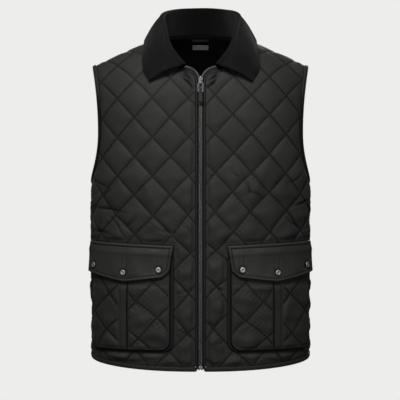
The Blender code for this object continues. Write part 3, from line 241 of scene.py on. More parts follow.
def bendArc(depth, bend, angle):  # arc of the quarter ellipse from the ridge down to an angle
    half = 0.5 * angle
    total = np.zeros_like(angle)
    for node, weight in zip(gaussNodes, gaussWeights):
        turn = half * (1.0 + node)
        total = total + weight * np.hypot(depth * np.cos(turn), bend * np.sin(turn))
    return half * total


def bendSizes(face, s):
    top = ridge(face, s)
    low = top - form["bend"][face]
    chestX, depth, _ = section(face, s, low)
    depth = np.maximum(depth, 0.02)
    quarter = bendArc(depth, form["bend"][face], np.full_like(depth, math.pi / 2.0))
    return top, low, chestX, depth, quarter


def formPoint(face, s, t):  # straight up the section to the chest, then over a quarter ellipse to the ridge
    s, t = np.broadcast_arrays(np.asarray(s, dtype=float), np.asarray(t, dtype=float))
    across = np.abs(s)
    bend = form["bend"][face]
    top, low, chestX, depth, quarter = bendSizes(face, across)
    reach = quarter - (t - low)
    angle = reach / quarter * (math.pi / 2.0)
    for _ in range(5):
        slope = np.hypot(depth * np.cos(angle), bend * np.sin(angle))
        angle = angle - (bendArc(depth, bend, angle) - reach) / slope
    levelX, levelY, _ = section(face, across, np.minimum(t, low))
    ease = smoothStep(0.0, 1.0, 1.0 - angle / (math.pi / 2.0))
    bent = t > low
    x = np.where(bent, chestX + (across - chestX) * ease, levelX)
    y = np.where(bent, depth * np.sin(angle), levelY)
    z = np.where(bent, top - bend * (1.0 - np.cos(angle)), t)
    return np.stack((np.where(s < 0.0, -x, x), face * y, z), axis=-1)


def patternT(face, s, z):  # cut height of a column point at a worn height
    s = np.abs(np.asarray(s, dtype=float))
    top, low, _, depth, quarter = bendSizes(face, s)
    angle = np.arccos(np.clip(1.0 - (top - z) / form["bend"][face], -1.0, 1.0))
    return np.where(z > low, low + quarter - bendArc(depth, form["bend"][face], angle), z)


def shoulderT(face, s):
    _, low, _, _, quarter = bendSizes(face, np.abs(np.asarray(s, dtype=float)))
    return low + quarter


def foldRise(rows, face, s, t):  # each fold is a bell along and across its own line
    rise = np.zeros(np.broadcast(s, t).shape)
    for foldFace, foldS, foldT, turn, length, width, depth in rows:
        if foldFace == face:
            cos, sin = math.cos(math.radians(turn)), math.sin(math.radians(turn))
            along = ((s - foldS) * cos + (t - foldT) * sin) / length
            over = ((t - foldT) * cos - (s - foldS) * sin) / width
            over = over + 0.6 * np.sin(2.6 * along + foldS * 40.0) * (width < 0.006)  # creases wander
            rise = rise + depth * np.exp(-along ** 2 - over ** 2)
    return rise


def drape(face, s, t, h):  # form point moved out by h and the soft folds
    s, t = np.asarray(s, dtype=float), np.asarray(t, dtype=float)
    step = 0.001
    across = formPoint(face, s + step, t) - formPoint(face, s - step, t)
    up = formPoint(face, s, t + step) - formPoint(face, s, t - step)
    normal = unit(np.cross(across, up) * -face)
    return formPoint(face, s, t) + (np.asarray(h) + foldRise(folds, face, s, t))[..., None] * normal


def pathDistance(s, t, path):  # least distance from an open flat path, one stretch at a time
    best = np.full(np.shape(s), 1.0)
    for (s0, t0), (s1, t1) in zip(path[:-1], path[1:]):
        run = max((s1 - s0) ** 2 + (t1 - t0) ** 2, 1e-18)
        share = np.clip(((s - s0) * (s1 - s0) + (t - t0) * (t1 - t0)) / run, 0.0, 1.0)
        best = np.minimum(best, np.hypot(s - s0 - share * (s1 - s0), t - t0 - share * (t1 - t0)))
    return best


def spaced(path, step):  # even points along a flat path, both ends kept
    arc = arcOf(path)
    return atPath(np.linspace(0.0, arc[-1], max(2, int(round(arc[-1] / step)) + 1)), arc, path)


def pathNormals(path):  # unit ways to the right of an open flat path
    along = unit(np.gradient(path, axis=0))
    return np.stack((along[:, 1], -along[:, 0]), axis=1)


def mirrored(path, side):
    return np.asarray(path) * np.array((side, 1.0))


def gridFaces(columns, rows, wrapColumns=False, wrapRows=False):  # four-cornered faces of a grid of points
    column = np.arange(columns if wrapColumns else columns - 1)[:, None]
    row = np.arange(rows if wrapRows else rows - 1)[None, :]
    nextColumn, nextRow = (column + 1) % columns, (row + 1) % rows
    return np.stack((column * rows + row, nextColumn * rows + row,
                     nextColumn * rows + nextRow, column * rows + nextRow), axis=-1).reshape(-1, 4)


def ringOf(columns, rows):  # point numbers round the rim of a grid
    first = np.arange(columns - 1) * rows
    second = (columns - 1) * rows + np.arange(rows - 1)
    third = np.arange(columns - 1, 0, -1) * rows + rows - 1
    fourth = np.arange(rows - 1, 0, -1)
    return np.concatenate((first, second, third, fourth))


def capFaces(count, size):  # the two end faces of a sweep
    return [np.arange(size)[None, ::-1], np.arange((count - 1) * size, count * size)[None, :]]


def buildMesh(name, points, faceSets, marks=None):  # closed mesh turned outward by its own volume
    points = np.asarray(points, dtype=np.float64).reshape(-1, 3)
    volume = 0.0
    for faces in faceSets:
        for corner in range(1, faces.shape[1] - 1):
            cross = np.cross(points[faces[:, corner]], points[faces[:, corner + 1]])
            volume += float((points[faces[:, 0]] * cross).sum())
    if volume < 0.0:
        faceSets = [faces[:, ::-1] for faces in faceSets]
    corners = np.concatenate([faces.ravel() for faces in faceSets]).astype(np.int32)
    sizes = np.concatenate([np.full(len(faces), faces.shape[1]) for faces in faceSets])
    mesh = bpy.data.meshes.new(name)
    mesh.vertices.add(len(points))
    mesh.vertices.foreach_set("co", points.astype(np.float32).ravel())
    mesh.loops.add(len(corners))
    mesh.loops.foreach_set("vertex_index", corners)
    mesh.polygons.add(len(sizes))
    mesh.polygons.foreach_set("loop_start", np.concatenate(([0], np.cumsum(sizes)[:-1])).astype(np.int32))
    mesh.polygons.foreach_set("use_smooth", np.ones(len(sizes), dtype=bool))
    mesh.update(calc_edges=True)
    mesh.validate()
    for mark, values in (marks or {}).items():
        kept = mesh.attributes.new(mark, "FLOAT_VECTOR", "POINT")
        kept.data.foreach_set("vector", np.asarray(values, dtype=np.float32).ravel())
    return mesh


def addPiece(name, mesh, material, nodes=(), rideOn=body):
    mesh.materials.append(material)
    piece = bpy.data.objects.new(name, mesh)
    bpy.context.scene.collection.objects.link(piece)
    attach(piece, rideOn)
    if nodes:
        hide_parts(*nodes)
    return piece


def wallMesh(name, outer, inner, step, outerMarks, innerMarks):
    # a fine outer grid over a plain inner grid, with one rim face for each stretch of the inner edge
    columns, rows = outer.shape[:2]
    innerColumns, innerRows = inner.shape[:2]
    first = columns * rows
    rimOuter = ringOf(columns, rows)
    rimInner = ringOf(innerColumns, innerRows) + first
    reach = np.arange(len(rimInner))[:, None] * step + np.arange(step + 1)[None, :]
    rimInner = np.stack((rimInner, np.roll(rimInner, -1)), axis=1)
    rim = np.hstack((rimOuter[reach % len(rimOuter)][:, ::-1], rimInner))
    faces = [gridFaces(columns, rows), gridFaces(innerColumns, innerRows)[:, ::-1] + first, rim]
    marks = {key: np.vstack((outerMarks[key].reshape(-1, 3), innerMarks[key].reshape(-1, 3)))
             for key in outerMarks}
    return buildMesh(name, np.vstack((outer.reshape(-1, 3), inner.reshape(-1, 3))), faces, marks)


def sweepMesh(name, rings, closed=False, marks=None):  # rings of points, capped at both ends or closed
    count, size = rings.shape[:2]
    faces = [gridFaces(count, size, closed, True)]
    if not closed:
        faces += capFaces(count, size)
    return buildMesh(name, rings, faces, marks)


def unsewn(cut, dark=0.0):  # marks of cloth with no sewn lines: its cut, and a share of dark that is the lining on inner faces and painted shade elsewhere
    lines = np.ones(cut.shape)
    lines[..., 2] = dark
    return {"cut": cut, "quilt": lines}


def addSweep(name, rings, material, nodes=(), closed=False, dark=0.0):
    # lengths along and round the sweep carry its weave
    cut = np.broadcast_arrays(arcOf(rings[:, 0])[:, None], arcOf(rings[0])[None, :], np.zeros((1, 1)))
    mesh = sweepMesh(name, rings, closed, unsewn(np.stack(cut, axis=-1), dark))
    addPiece(name, mesh, material, nodes)


def edgeRings(face, edge, inward, profile):  # profile (into the cloth, off its inside) carried along an edge
    profile = np.asarray(profile, dtype=float)
    if profile.ndim == 2:
        profile = np.broadcast_to(profile, (len(edge),) + profile.shape)
    s = edge[:, None, 0] + inward[:, None, 0] * profile[..., 0]
    t = edge[:, None, 1] + inward[:, None, 1] * profile[..., 0]
    return drape(face, s, t, profile[..., 1])


def newMaterial(name, roughness, metallic=0.0, sheen=0.0, specular=0.5):
    made = bpy.data.materials.new(name)
    made.use_nodes = True
    shader = made.node_tree.nodes["Principled BSDF"]
    shader.inputs["Roughness"].default_value = roughness
    shader.inputs["Metallic"].default_value = metallic
    shader.inputs["Specular IOR Level"].default_value = specular
    shader.inputs["Sheen Weight"].default_value = sheen
    shader.inputs["Sheen Roughness"].default_value = 0.45
    return made, made.node_tree, shader


def mathNode(tree, operation, first, second=0.0):
    node = tree.nodes.new("ShaderNodeMath")
    node.operation = operation
    for socket, value in zip(node.inputs, (first, second)):
        if isinstance(value, (int, float)):
            socket.default_value = value
        else:
            tree.links.new(value, socket)
    return node.outputs[0]


def rangeNode(tree, value, low, high, first, last):
    node = tree.nodes.new("ShaderNodeMapRange")
    node.interpolation_type = "SMOOTHSTEP"
    tree.links.new(value, node.inputs["Value"])
    for key, number in zip(("From Min", "From Max", "To Min", "To Max"), (low, high, first, last)):
        node.inputs[key].default_value = number
    return node.outputs["Result"]


def noiseNode(tree, vector, scale, detail=2.0, roughness=0.5):
    node = tree.nodes.new("ShaderNodeTexNoise")
    node.inputs["Scale"].default_value = scale
    node.inputs["Detail"].default_value = detail
    node.inputs["Roughness"].default_value = roughness
    tree.links.new(vector, node.inputs["Vector"])
    return node.outputs["Fac"]


def markNode(tree, name):
    node = tree.nodes.new("ShaderNodeAttribute")
    node.attribute_name = name
    return node.outputs["Vector"]


def splitNode(tree, vector):
    node = tree.nodes.new("ShaderNodeSeparateXYZ")
    tree.links.new(vector, node.inputs[0])
    return node.outputs


def mixNode(tree, share, first, second):
    node = tree.nodes.new("ShaderNodeMix")
    node.data_type = "RGBA"
    for socket, value in zip((node.inputs[0], node.inputs[6], node.inputs[7]), (share, first, second)):
        if isinstance(value, (tuple, float, int)):
            socket.default_value = value
        else:
            tree.links.new(value, socket)
    return node.outputs[2]


def bumpNode(tree, shader, height, strength, distance):
    node = tree.nodes.new("ShaderNodeBump")
    node.inputs["Strength"].default_value = strength
    node.inputs["Distance"].default_value = distance
    tree.links.new(height, node.inputs["Height"])
    tree.links.new(node.outputs["Normal"], shader.inputs["Normal"])


def waveOf(tree, socket, pitch):  # sine of a length, one turn for each pitch
    return mathNode(tree, "SINE", mathNode(tree, "MULTIPLY", socket, 2.0 * math.pi / pitch))


def grey(value, warm=0.0):
    return (value, value, value * (1.0 - warm), 1.0)


def clothMaterial(name, look, sewn=None):
    # woven cloth: weave from sine waves on the cut, soft tone from noise, painted shade in the grooves along
    # the sewn lines where it is quilted
    made, tree, shader = newMaterial(name, look["roughness"], 0.0, look["sheen"], look["specular"])
    cut = markNode(tree, "cut")
    s, t, pad = splitNode(tree, cut)
    p, q, inside = splitNode(tree, markNode(tree, "quilt"))
    broad = rangeNode(tree, noiseNode(tree, cut, look["broadScale"], 3.0), 0.3, 0.7, 0.0, 1.0)
    fine = noiseNode(tree, cut, look["fineScale"], 2.0, 0.6)
    tone = mixNode(tree, broad, grey(look["tone"] * 0.88, 0.05), grey(look["tone"] * 1.10, 0.11))
    tone = mixNode(tree, mathNode(tree, "MULTIPLY", fine, look["mottle"]), tone, grey(look["tone"] * 0.62))
    if sewn:
        # painted shade in the grooves along the sewn lines, and through the pad tone, which carries painted
        # shade in creases
        offP, offQ = [mathNode(tree, "PINGPONG", way, 1.0) for way in (p, q)]
        line = mathNode(tree, "MINIMUM", offP, offQ)
        line = rangeNode(tree, line, 0.020, sewn["width"], sewn["shade"], 0.0)
        padShare = mathNode(tree, "MULTIPLY", pad, sewn["padShade"])
        tone = mixNode(tree, padShare, tone, grey(look["tone"] * 0.45))
        tone = mixNode(tree, line, tone, grey(look["tone"] * 0.10))
    # the third quilt channel mixes to the lining tone: the real lining on inner faces, painted shade on outer
    # faces, with less shine
    tone = mixNode(tree, inside, tone, grey(look["liningAndShade"]))
    tree.links.new(tone, shader.inputs["Base Color"])
    shine = rangeNode(tree, inside, 0.0, 1.0, look["specular"], 0.03)
    tree.links.new(shine, shader.inputs["Specular IOR Level"])
    weave = mathNode(tree, "ADD", waveOf(tree, s, look["weave"]), waveOf(tree, t, look["weave"] * 0.9))
    height = mathNode(tree, "ADD", mathNode(tree, "MULTIPLY", weave, look["weaveShare"]), fine)
    bumpNode(tree, shader, height, look["bump"], 0.0006)
    return made


def cordMaterial(name, look):  # ribbed pile: rounded ribs along the cut, broken by noise
    made, tree, shader = newMaterial(name, look["roughness"], 0.0, look["sheen"], look["specular"])
    cut = markNode(tree, "cut")
    s = splitNode(tree, cut)[0]
    nap = noiseNode(tree, cut, look["napScale"], 3.0, 0.65)
    place = mathNode(tree, "ADD", s, mathNode(tree, "MULTIPLY", nap, look["pitch"] * 0.35))
    rib = mathNode(tree, "ABSOLUTE", waveOf(tree, place, look["pitch"] * 2.0))
    broad = rangeNode(tree, noiseNode(tree, cut, 26.0, 3.0), 0.3, 0.7, 0.0, 1.0)
    tone = mixNode(tree, broad, grey(look["tone"] * 0.75), grey(look["tone"] * 1.30))
    rubbed = rangeNode(tree, noiseNode(tree, cut, 170.0, 3.0, 0.6), 0.35, 0.65, 0.0, 0.75)
    tone = mixNode(tree, rubbed, tone, grey(look["tone"] * 0.45))
    # painted shade in the grooves between the ribs
    tone = mixNode(tree, rangeNode(tree, rib, 0.0, 0.75, 0.55, 0.0), tone, grey(look["tone"] * 0.25))
    # the third quilt channel mixes to the lining tone: painted shade inside the collar stand
    tone = mixNode(tree, splitNode(tree, markNode(tree, "quilt"))[2], tone, grey(look["liningAndShade"]))
    tree.links.new(tone, shader.inputs["Base Color"])
    height = mathNode(tree, "ADD", rib, mathNode(tree, "MULTIPLY", nap, 0.6))
    bumpNode(tree, shader, height, look["bump"], 0.0007)
    return made


def metalMaterial(name, look):  # brushed metal: tone and bump from stretched noise
    made, tree, shader = newMaterial(name, look["roughness"], 1.0)
    place = tree.nodes.new("ShaderNodeTexCoord").outputs["Object"]
    rub = noiseNode(tree, place, 900.0, 3.0, 0.6)
    wear = noiseNode(tree, place, 220.0, 2.0)
    tone = mixNode(tree, wear, grey(look["tone"] * 0.82), grey(look["tone"] * 1.12))
    tree.links.new(tone, shader.inputs["Base Color"])
    tree.links.new(rangeNode(tree, rub, 0.3, 0.7, look["roughness"] * 0.8, look["roughness"] * 1.3),
                   shader.inputs["Roughness"])
    bumpNode(tree, shader, rub, 0.12, 0.0002)
    return made


clothKeys = ("tone", "liningAndShade", "roughness", "sheen", "specular",
             "broadScale", "fineScale", "mottle", "weave", "weaveShare", "bump")
clothLooks = {name: dict(zip(clothKeys, values)) for name, values in {
    "nylon": (0.0264, 0.0012, 0.68, 0.04, 0.26, 7.0, 260.0, 0.30, 0.0009, 0.25, 0.16),
    "flap": (0.0285, 0.0030, 0.60, 0.04, 0.30, 16.0, 260.0, 0.30, 0.0009, 0.25, 0.16),
    "tape": (0.0160, 0.0020, 0.60, 0.05, 0.30, 24.0, 420.0, 0.35, 0.0011, 0.60, 0.25),
    "zipTape": (0.0070, 0.0060, 0.75, 0.05, 0.20, 24.0, 420.0, 0.35, 0.0012, 1.00, 0.35),
    "label": (0.1500, 0.0300, 0.80, 0.10, 0.25, 60.0, 420.0, 0.30, 0.0012, 1.00, 0.35),
    "rubber": (0.0120, 0.0100, 0.65, 0.03, 0.30, 90.0, 900.0, 0.25, 0.0007, 0.30, 0.20),
    "thread": (0.0140, 0.0100, 0.65, 0.10, 0.30, 60.0, 900.0, 0.30, 0.0004, 0.80, 0.30),
}.items()}
sewnLines = {"width": 0.118, "shade": 0.92, "padShade": 0.45}  # painted shade along the sewn lines: half width as a share of a half diamond
cordLook = {"tone": 0.0089, "liningAndShade": 0.0012, "roughness": 0.95, "sheen": 0.05, "specular": 0.10,
            "pitch": 0.0016, "napScale": 700.0, "bump": 0.55}
metalLooks = {
    "steel": {"tone": 0.30, "roughness": 0.40},
    "satin": {"tone": 0.42, "roughness": 0.56},
    "gunmetal": {"tone": 0.165, "roughness": 0.56},
    "blackened": {"tone": 0.09, "roughness": 0.45},
}
nylon = clothMaterial("quilted_shell_cloth", clothLooks["nylon"], sewnLines)
flapCloth = clothMaterial("plain_shell_cloth", clothLooks["flap"])
tape = clothMaterial("binding_tape", clothLooks["tape"])
zipCloth = clothMaterial("zip_tape_cloth", clothLooks["zipTape"])
labelCloth = clothMaterial("bare_label_cloth", clothLooks["label"])
rubber = clothMaterial("moulded_tag", clothLooks["rubber"])
thread = clothMaterial("sewing_thread", clothLooks["thread"])
needlecord = cordMaterial("needlecord_pile", cordLook)
steel = metalMaterial("brushed_steel", metalLooks["steel"])
gunmetal = metalMaterial("zip_teeth_metal", metalLooks["gunmetal"])
satin = metalMaterial("satin_snap_metal", metalLooks["satin"])
blackened = metalMaterial("slider_plate_metal", metalLooks["blackened"])
print("materials:", len(clothLooks) + len(metalLooks) + 1)

# camera first: level, square on to the front
lens = {"place": (-0.0011, -2.6, -0.361), "focal": 106.83}
eye = bpy.data.cameras.new("photo_camera")
eye.lens = lens["focal"]
eye.sensor_width = 36.0
camera = bpy.data.objects.new("photo_camera", eye)
camera.location = lens["place"]
camera.rotation_euler = (math.pi / 2.0, 0.0, 0.0)
bpy.context.scene.collection.objects.link(camera)
bpy.context.scene.camera = camera

# cut edges of the panels, as in the solids
zipSizes = {
    "topZ": -0.1137,
    "turn": 0.0368,
    "foot": -0.7095,
    "end": -0.7155,
    "panelEdge": 0.0112,
    "piping": 0.0088,
    "pipingRadius": 0.0015,
    "tapeWidth": 0.021,
    "tapeCloth": 0.0008,
    "tapeUnder": 0.0018,
    "pitch": 0.0026,
}
turnT = float(patternT(front, 0.0, zipSizes["topZ"]))


def zipLine(offset, foot, step):  # up the centre front and out along the open neck on a quarter circle
    angle = np.linspace(0.0, math.pi / 2.0, 40)
    radius = zipSizes["turn"] - offset
    arc = np.stack((zipSizes["turn"] - radius * np.cos(angle), turnT + radius * np.sin(angle)), axis=1)
    return spaced(np.vstack(([(offset, foot)], arc)), step)


def frontNeck():  # quarter ellipse from the open neck's end to the neck point
    start = zipLine(zipSizes["panelEdge"], form["hem"], 0.01)[-1]
    top = float(shoulderT(front, form["neckHalf"])) + form["seamMeet"]
    angle = np.linspace(0.0, math.pi / 2.0, 60)
    return np.stack((start[0] + (form["neckHalf"] - start[0]) * np.sin(angle),
                     top - (top - start[1]) * np.cos(angle)), axis=1)


def backNeck():  # quarter ellipse from the neck point to the nape
    top = float(shoulderT(back, form["neckHalf"])) + form["seamMeet"]
    nape = float(patternT(back, 0.0, form["napeZ"]))
    angle = np.linspace(0.0, math.pi / 2.0, 60)
    return np.stack((form["neckHalf"] * np.cos(angle), top - (top - nape) * np.sin(angle)), axis=1)


def armhole(face, step=0.004):  # quarter ellipse bowl at the underarm, then a rise that leans out to the tip
    side = float(sideSeam(face, form["underarm"])) + form["seamMeet"]
    middle, rise = form["armMid"][face], form["armRise"][face]
    angle = np.linspace(0.0, math.pi / 2.0, 60)
    bowl = np.stack((side - (side - middle) * np.sin(angle),
                     form["underarm"] + rise * (1.0 - np.cos(angle))), axis=1)
    tipT = float(shoulderT(face, form["tip"])) + form["seamMeet"]
    t = np.linspace(bowl[-1, 1], tipT, 60)[1:]
    share = (t - bowl[-1, 1]) / (tipT - bowl[-1, 1])
    lean = np.stack((middle + (form["tip"] - middle) * share ** 2, t), axis=1)
    return spaced(np.vstack((bowl, lean)), step)


def shoulder(face, count=30):
    s = np.linspace(form["tip"], form["neckHalf"], count)
    return np.stack((s, shoulderT(face, s) + form["seamMeet"]), axis=1)


def armholeInward(face, edge):  # square to the edge, turning to the shoulder seam at the tip
    seam = shoulder(face)
    along = unit(seam[1] - seam[0])
    turn = smoothStep(0.022, 0.0, np.linalg.norm(edge - edge[-1], axis=1))[:, None]
    return unit(-pathNormals(edge) * (1.0 - turn) + along * turn)


def sideEdge(face, count=40):
    t = np.linspace(form["hem"] + form["hemRise"], form["underarm"], count)
    return np.stack((sideSeam(face, t) + form["seamMeet"], t), axis=1)


def hemRise(share):
    return form["hem"] + form["hemRise"] * np.abs(share) ** form["hemCurve"]


def hemEdge(face, start, step):  # rising towards the side seam
    end = float(sideSeam(face, form["hem"] + form["hemRise"])) + form["seamMeet"]
    share = np.linspace(0.0, 1.0, 60)
    return spaced(np.stack((start + (end - start) * share, hemRise(share)), axis=1), step)


def runUp(path, share):  # even in height up to the underarm, then even along the edge
    level, split = form["underarm"], form["split"]
    lowT = path[0, 1] + (level - path[0, 1]) * np.clip(share / split, 0.0, 1.0)
    low = path[:, 1] <= level + 1e-6
    atLevel = (np.interp(level, path[low, 1], path[low, 0]), level)
    upper = np.vstack(([atLevel], path[~low]))
    arc = arcOf(upper)
    place = np.clip((share - split) / (1.0 - split), 0.0, 1.0) * arc[-1]
    lowS = np.interp(lowT, path[low, 1], path[low, 0])
    highS, highT = [np.interp(place, arc, upper[:, axis]) for axis in (0, 1)]
    return np.where(share <= split, lowS, highS), np.where(share <= split, lowT, highT)


pocketSizes = {
    "s": (0.0630, 0.2470),
    "t": (-0.6760, -0.4800),
    "corner": 0.020,
    "h": (0.0075, 0.0098),
    "puff": 0.0034,
    "origin": ((0.0931, -0.6120), (0.0760, -0.5955)),  # towards the centre and away from it
    "pleat": (0.1530, 0.1550, 0.1665, 0.1690),
    "pleatRise": 0.0022,
    "gussetOut": (0.0065, 0.0020, 0.0050),
    "gussetWidth": 0.018,
    "gussetH": (0.0038, 0.0063),
    "footMargin": 0.004,
    "ditch": 0.0012,  # beside the pleat's fold
    "slack": 0.0022,
    "edgeRoll": 0.0014,
    "stitchDitch": 0.0005,
    "edgeShade": 0.85,
    "pleatShade": 0.96,
    "gussetShade": (0.42, 0.5),  # on the folded edge, and more off it
    "turnings": 0.024,
    "coarse": 4,
}
flapSizes = {
    "inner": ((0.0640, -0.5100), (0.0560, -0.4570)),  # lower and upper ends of the side edges
    "outer": ((0.2550, -0.5130), (0.2520, -0.4480)),
    "lower": ((0.0640, -0.5100), (0.0790, -0.5230), (0.1590, -0.5330), (0.2550, -0.5130)),
    "cloth": 0.0030,
    "bead": 0.0011,
    "beadWidth": 0.0060,
    "lift": 0.0022,
    "gap": 0.0008,
    "welt": 0.0050,  # padding at the sewn top
    "ditch": 0.0007,
    "roll": 0.0016,
    "soft": 0.0008,
    "snapDent": (0.0010, 0.0002),  # round a cap and under it
    "snapDrags": ((-0.005, 0.0010), (0.004, 0.0008)),  # shift and depth
    "rimShade": 0.85,
    "snapShade": 0.75,
}


def pocketFoot(s, t):  # distance outside the part of a front that a pocket and its flap cover
    margin, (innerOut, lowOut, outerOut) = pocketSizes["footMargin"], pocketSizes["gussetOut"]
    lowS = min(pocketSizes["s"][0] - innerOut, flapSizes["inner"][1][0]) - margin
    highS = max(pocketSizes["s"][1] + outerOut, flapSizes["outer"][0][0]) + margin
    lowT = pocketSizes["t"][0] - lowOut - margin
    tops = [flapSizes[key][1][1] + margin for key in ("inner", "outer")]
    highT = np.interp(np.abs(s), (lowS, highS), tops)
    outS = np.maximum(np.maximum(lowS - np.abs(s), np.abs(s) - highS), 0.0)
    outT = np.maximum(np.maximum(lowT - t, t - highT), 0.0)
    return np.hypot(outS, outT)


def pocketRun(grow, step):  # down the inner side of a pocket, along its foot and up the outer side
    innerGrow, lowGrow, outerGrow = grow
    innerS, outerS = pocketSizes["s"][0] - innerGrow, pocketSizes["s"][1] + outerGrow
    lowT, topT, corner = pocketSizes["t"][0] - lowGrow, pocketSizes["t"][1] - 0.002, pocketSizes["corner"]
    angle = np.linspace(0.0, 0.5 * math.pi, 20)
    cos, sin = corner * np.cos(angle), corner * np.sin(angle)
    first = np.stack((innerS + corner - cos, lowT + corner - sin), axis=1)
    second = np.stack((outerS - corner + sin, lowT + corner - cos), axis=1)
    return spaced(np.vstack(([(innerS, topT)], first, second, [(outerS, topT)])), step)


def wanderOf(s, t):  # drift of the sewn lines over the cut, more low down
    reach = quilt["wander"][0] + (quilt["wander"][1] - quilt["wander"][0]) * smoothStep(-0.28, -0.50, t)
    return reach * softNoise(s / 0.16, t / 0.16, 11), reach * softNoise(s / 0.16, t / 0.16, 12)


def quiltPlace(origin, s, t):  # sewn lines run where p or q is an even number
    driftAcross, driftUp = wanderOf(s, t)
    across = (np.abs(s) - origin[0]) / quilt["across"] + driftAcross
    up = (t - origin[1]) / quilt["up"] + driftUp
    return across + up, across - up


def quiltRise(origin, s, t, puff, seed):
    # pads between sewn lines: a steep soft shoulder at the line and a low crown, uneven from pad to pad
    p, q = quiltPlace(origin, s, t)
    size = quilt["across"] * quilt["up"] / math.hypot(quilt["across"], quilt["up"])
    offP, offQ = [np.abs(way - 2.0 * np.round(way / 2.0)) * size for way in (p, q)]
    soft, reach = quilt["lineRound"], quilt["lineReach"]
    shoulderP, shoulderQ = [1.0 - np.exp(-(np.hypot(off, soft) - soft) / reach) for off in (offP, offQ)]
    crown = np.sin(0.5 * math.pi * offP / size) * np.sin(0.5 * math.pi * offQ / size)
    cellP, cellQ = np.floor(p / 2.0), np.floor(q / 2.0)
    loose = smoothStep(*quilt["loose"], t)
    uneven = quilt["uneven"][0] + quilt["uneven"][1] * loose
    uneven = 1.0 + uneven * (2.0 * cellValue(cellP, cellQ, seed) - 1.0)
    tilt = 1.0
    for way, cell, turn in ((p, cellP, 3), (q, cellQ, 5)):
        lean = (quilt["lean"][0] + quilt["lean"][1] * loose) * (cellValue(cellP, cellQ, seed + turn) - 0.5)
        tilt = tilt + lean * np.sin(math.pi * (way - 2.0 * cell - 1.0) * 0.5)
    least, topT, fullT = quilt["topRise"]
    high = least + (1.0 - least) * smoothStep(topT, fullT, t)
    shape = quilt["shares"][0] * shoulderP * shoulderQ + quilt["shares"][1] * crown
    rise = puff * high * shape * uneven * tilt
    pitch, reach = quilt["gather"]
    gather = 0.0
    for way, off, edge, turn in ((q, offP, shoulderP, 21), (p, offQ, shoulderQ, 22)):
        phase = 6.28 * way * size / pitch + 2.0 * softNoise(s / 0.05, t / 0.05, turn)
        gather = gather + np.sin(phase) * np.exp(-off / reach) * edge
    rise = rise + quilt["pucker"] * gather * (3.0 + 3.0 * loose)
    wrinkle = quilt["wrinkle"][0] + (quilt["wrinkle"][1] - quilt["wrinkle"][0]) * loose
    rise = rise + wrinkle * softNoise(s / 0.055, t / 0.040, seed + 31) * shoulderP * shoulderQ
    return rise, p, q, cellValue(cellP, cellQ, seed + 7)


def panelFade(s, t, sewn, bound, face):  # pads die away at seams, bindings and under a pocket
    fade = np.ones(np.shape(s))
    for number, path in enumerate(sewn):
        start = quilt["edgeFlat"] if face == front and number == 0 else quilt["seamFade"][0]
        reach = quilt["seamFade"][1] * (0.7 if start > 0.002 else 1.0)
        fade = fade * smoothStep(start, start + reach, pathDistance(s, t, path))
    for path in bound:
        fade = fade * smoothStep(quilt["boundFade"][0], sum(quilt["boundFade"]), pathDistance(s, t, path))
    if face == front:
        fade = fade * smoothStep(0.0, 0.010, pocketFoot(s, t))
    return fade


def shaded(dark, key, off):  # the darker of what is there and a contact shade
    strength, start, full = quilt[key]
    return np.maximum(dark, strength * smoothStep(start, full, off))


def panelPiece(name, face, s, t, sewn, bound, nodes):
    side = right if s.max() < 0.0 else left
    rise, p, q, pad = quiltRise(quilt["origin"][face, side], s, t, quilt["puff"], 1 if face == front else 2)
    fade = panelFade(s, t, sewn, bound, face)
    toEdge = np.minimum.reduce([pathDistance(s, t, path) for path in bound + sewn])
    free = smoothStep(*quilt["creaseFree"], toEdge)
    if face == front:
        free = free * smoothStep(0.0, 0.008, pocketFoot(s, t))
    crease = foldRise(creases, face, s, t) * free
    pad = np.clip(0.7 * pad - 450.0 * np.minimum(crease, 0.0), 0.0, 1.5)  # tone that differs at random from pad to pad, with painted shade added in a crease
    height = form["cloth"] + np.maximum(rise * fade + crease, quilt["deepest"])
    outer = drape(face, s, t, height)
    coarse = quilt["coarse"]
    innerS, innerT = s[::coarse, ::coarse], t[::coarse, ::coarse]
    inner = drape(face, innerS, innerT, np.zeros_like(innerS))
    dark = shaded(0.0, "creaseShade", -crease)
    for path in bound:
        dark = shaded(dark, "boundShade", pathDistance(s, t, path))
    if face == front:  # painted contact shade round the pocket and its flap, and painted shade of the collar in the gathered corner of the open neck
        place = np.abs(s)
        flapTop = np.array((flapSizes["outer"][1], flapSizes["inner"][1], flapSizes["inner"][0]))
        dark = shaded(dark, "pocketShade", pathDistance(place, t, pocketRun(pocketSizes["gussetOut"], 0.008)))
        dark = shaded(dark, "flapShade", pathDistance(place, t, flapTop))
        strength, neckS, wide, neckT, tall = quilt["neckShade"]
        neck = np.exp(-((place - neckS) / wide) ** 2 - ((t - neckT) / tall) ** 2)
        dark = np.maximum(dark, strength * neck)
    else:
        # painted shade along the back neck seam under the collar
        dark = shaded(dark, "napeShade", pathDistance(s, t, sewn[-1]))
    outerMarks = {"cut": np.stack((s, t, pad), axis=-1), "quilt": np.stack((p, q, dark), axis=-1)}
    innerMarks = unsewn(np.stack((innerS, innerT, np.ones_like(innerS)), axis=-1), 1.0)
    mesh = wallMesh(name, outer, inner, coarse, outerMarks, innerMarks)
    piece = addPiece(name, mesh, nylon, nodes)


def roundUp(length, step):  # whole number of cells that the inner grid divides
    return quilt["coarse"] * int(math.ceil(length / step / quilt["coarse"]))


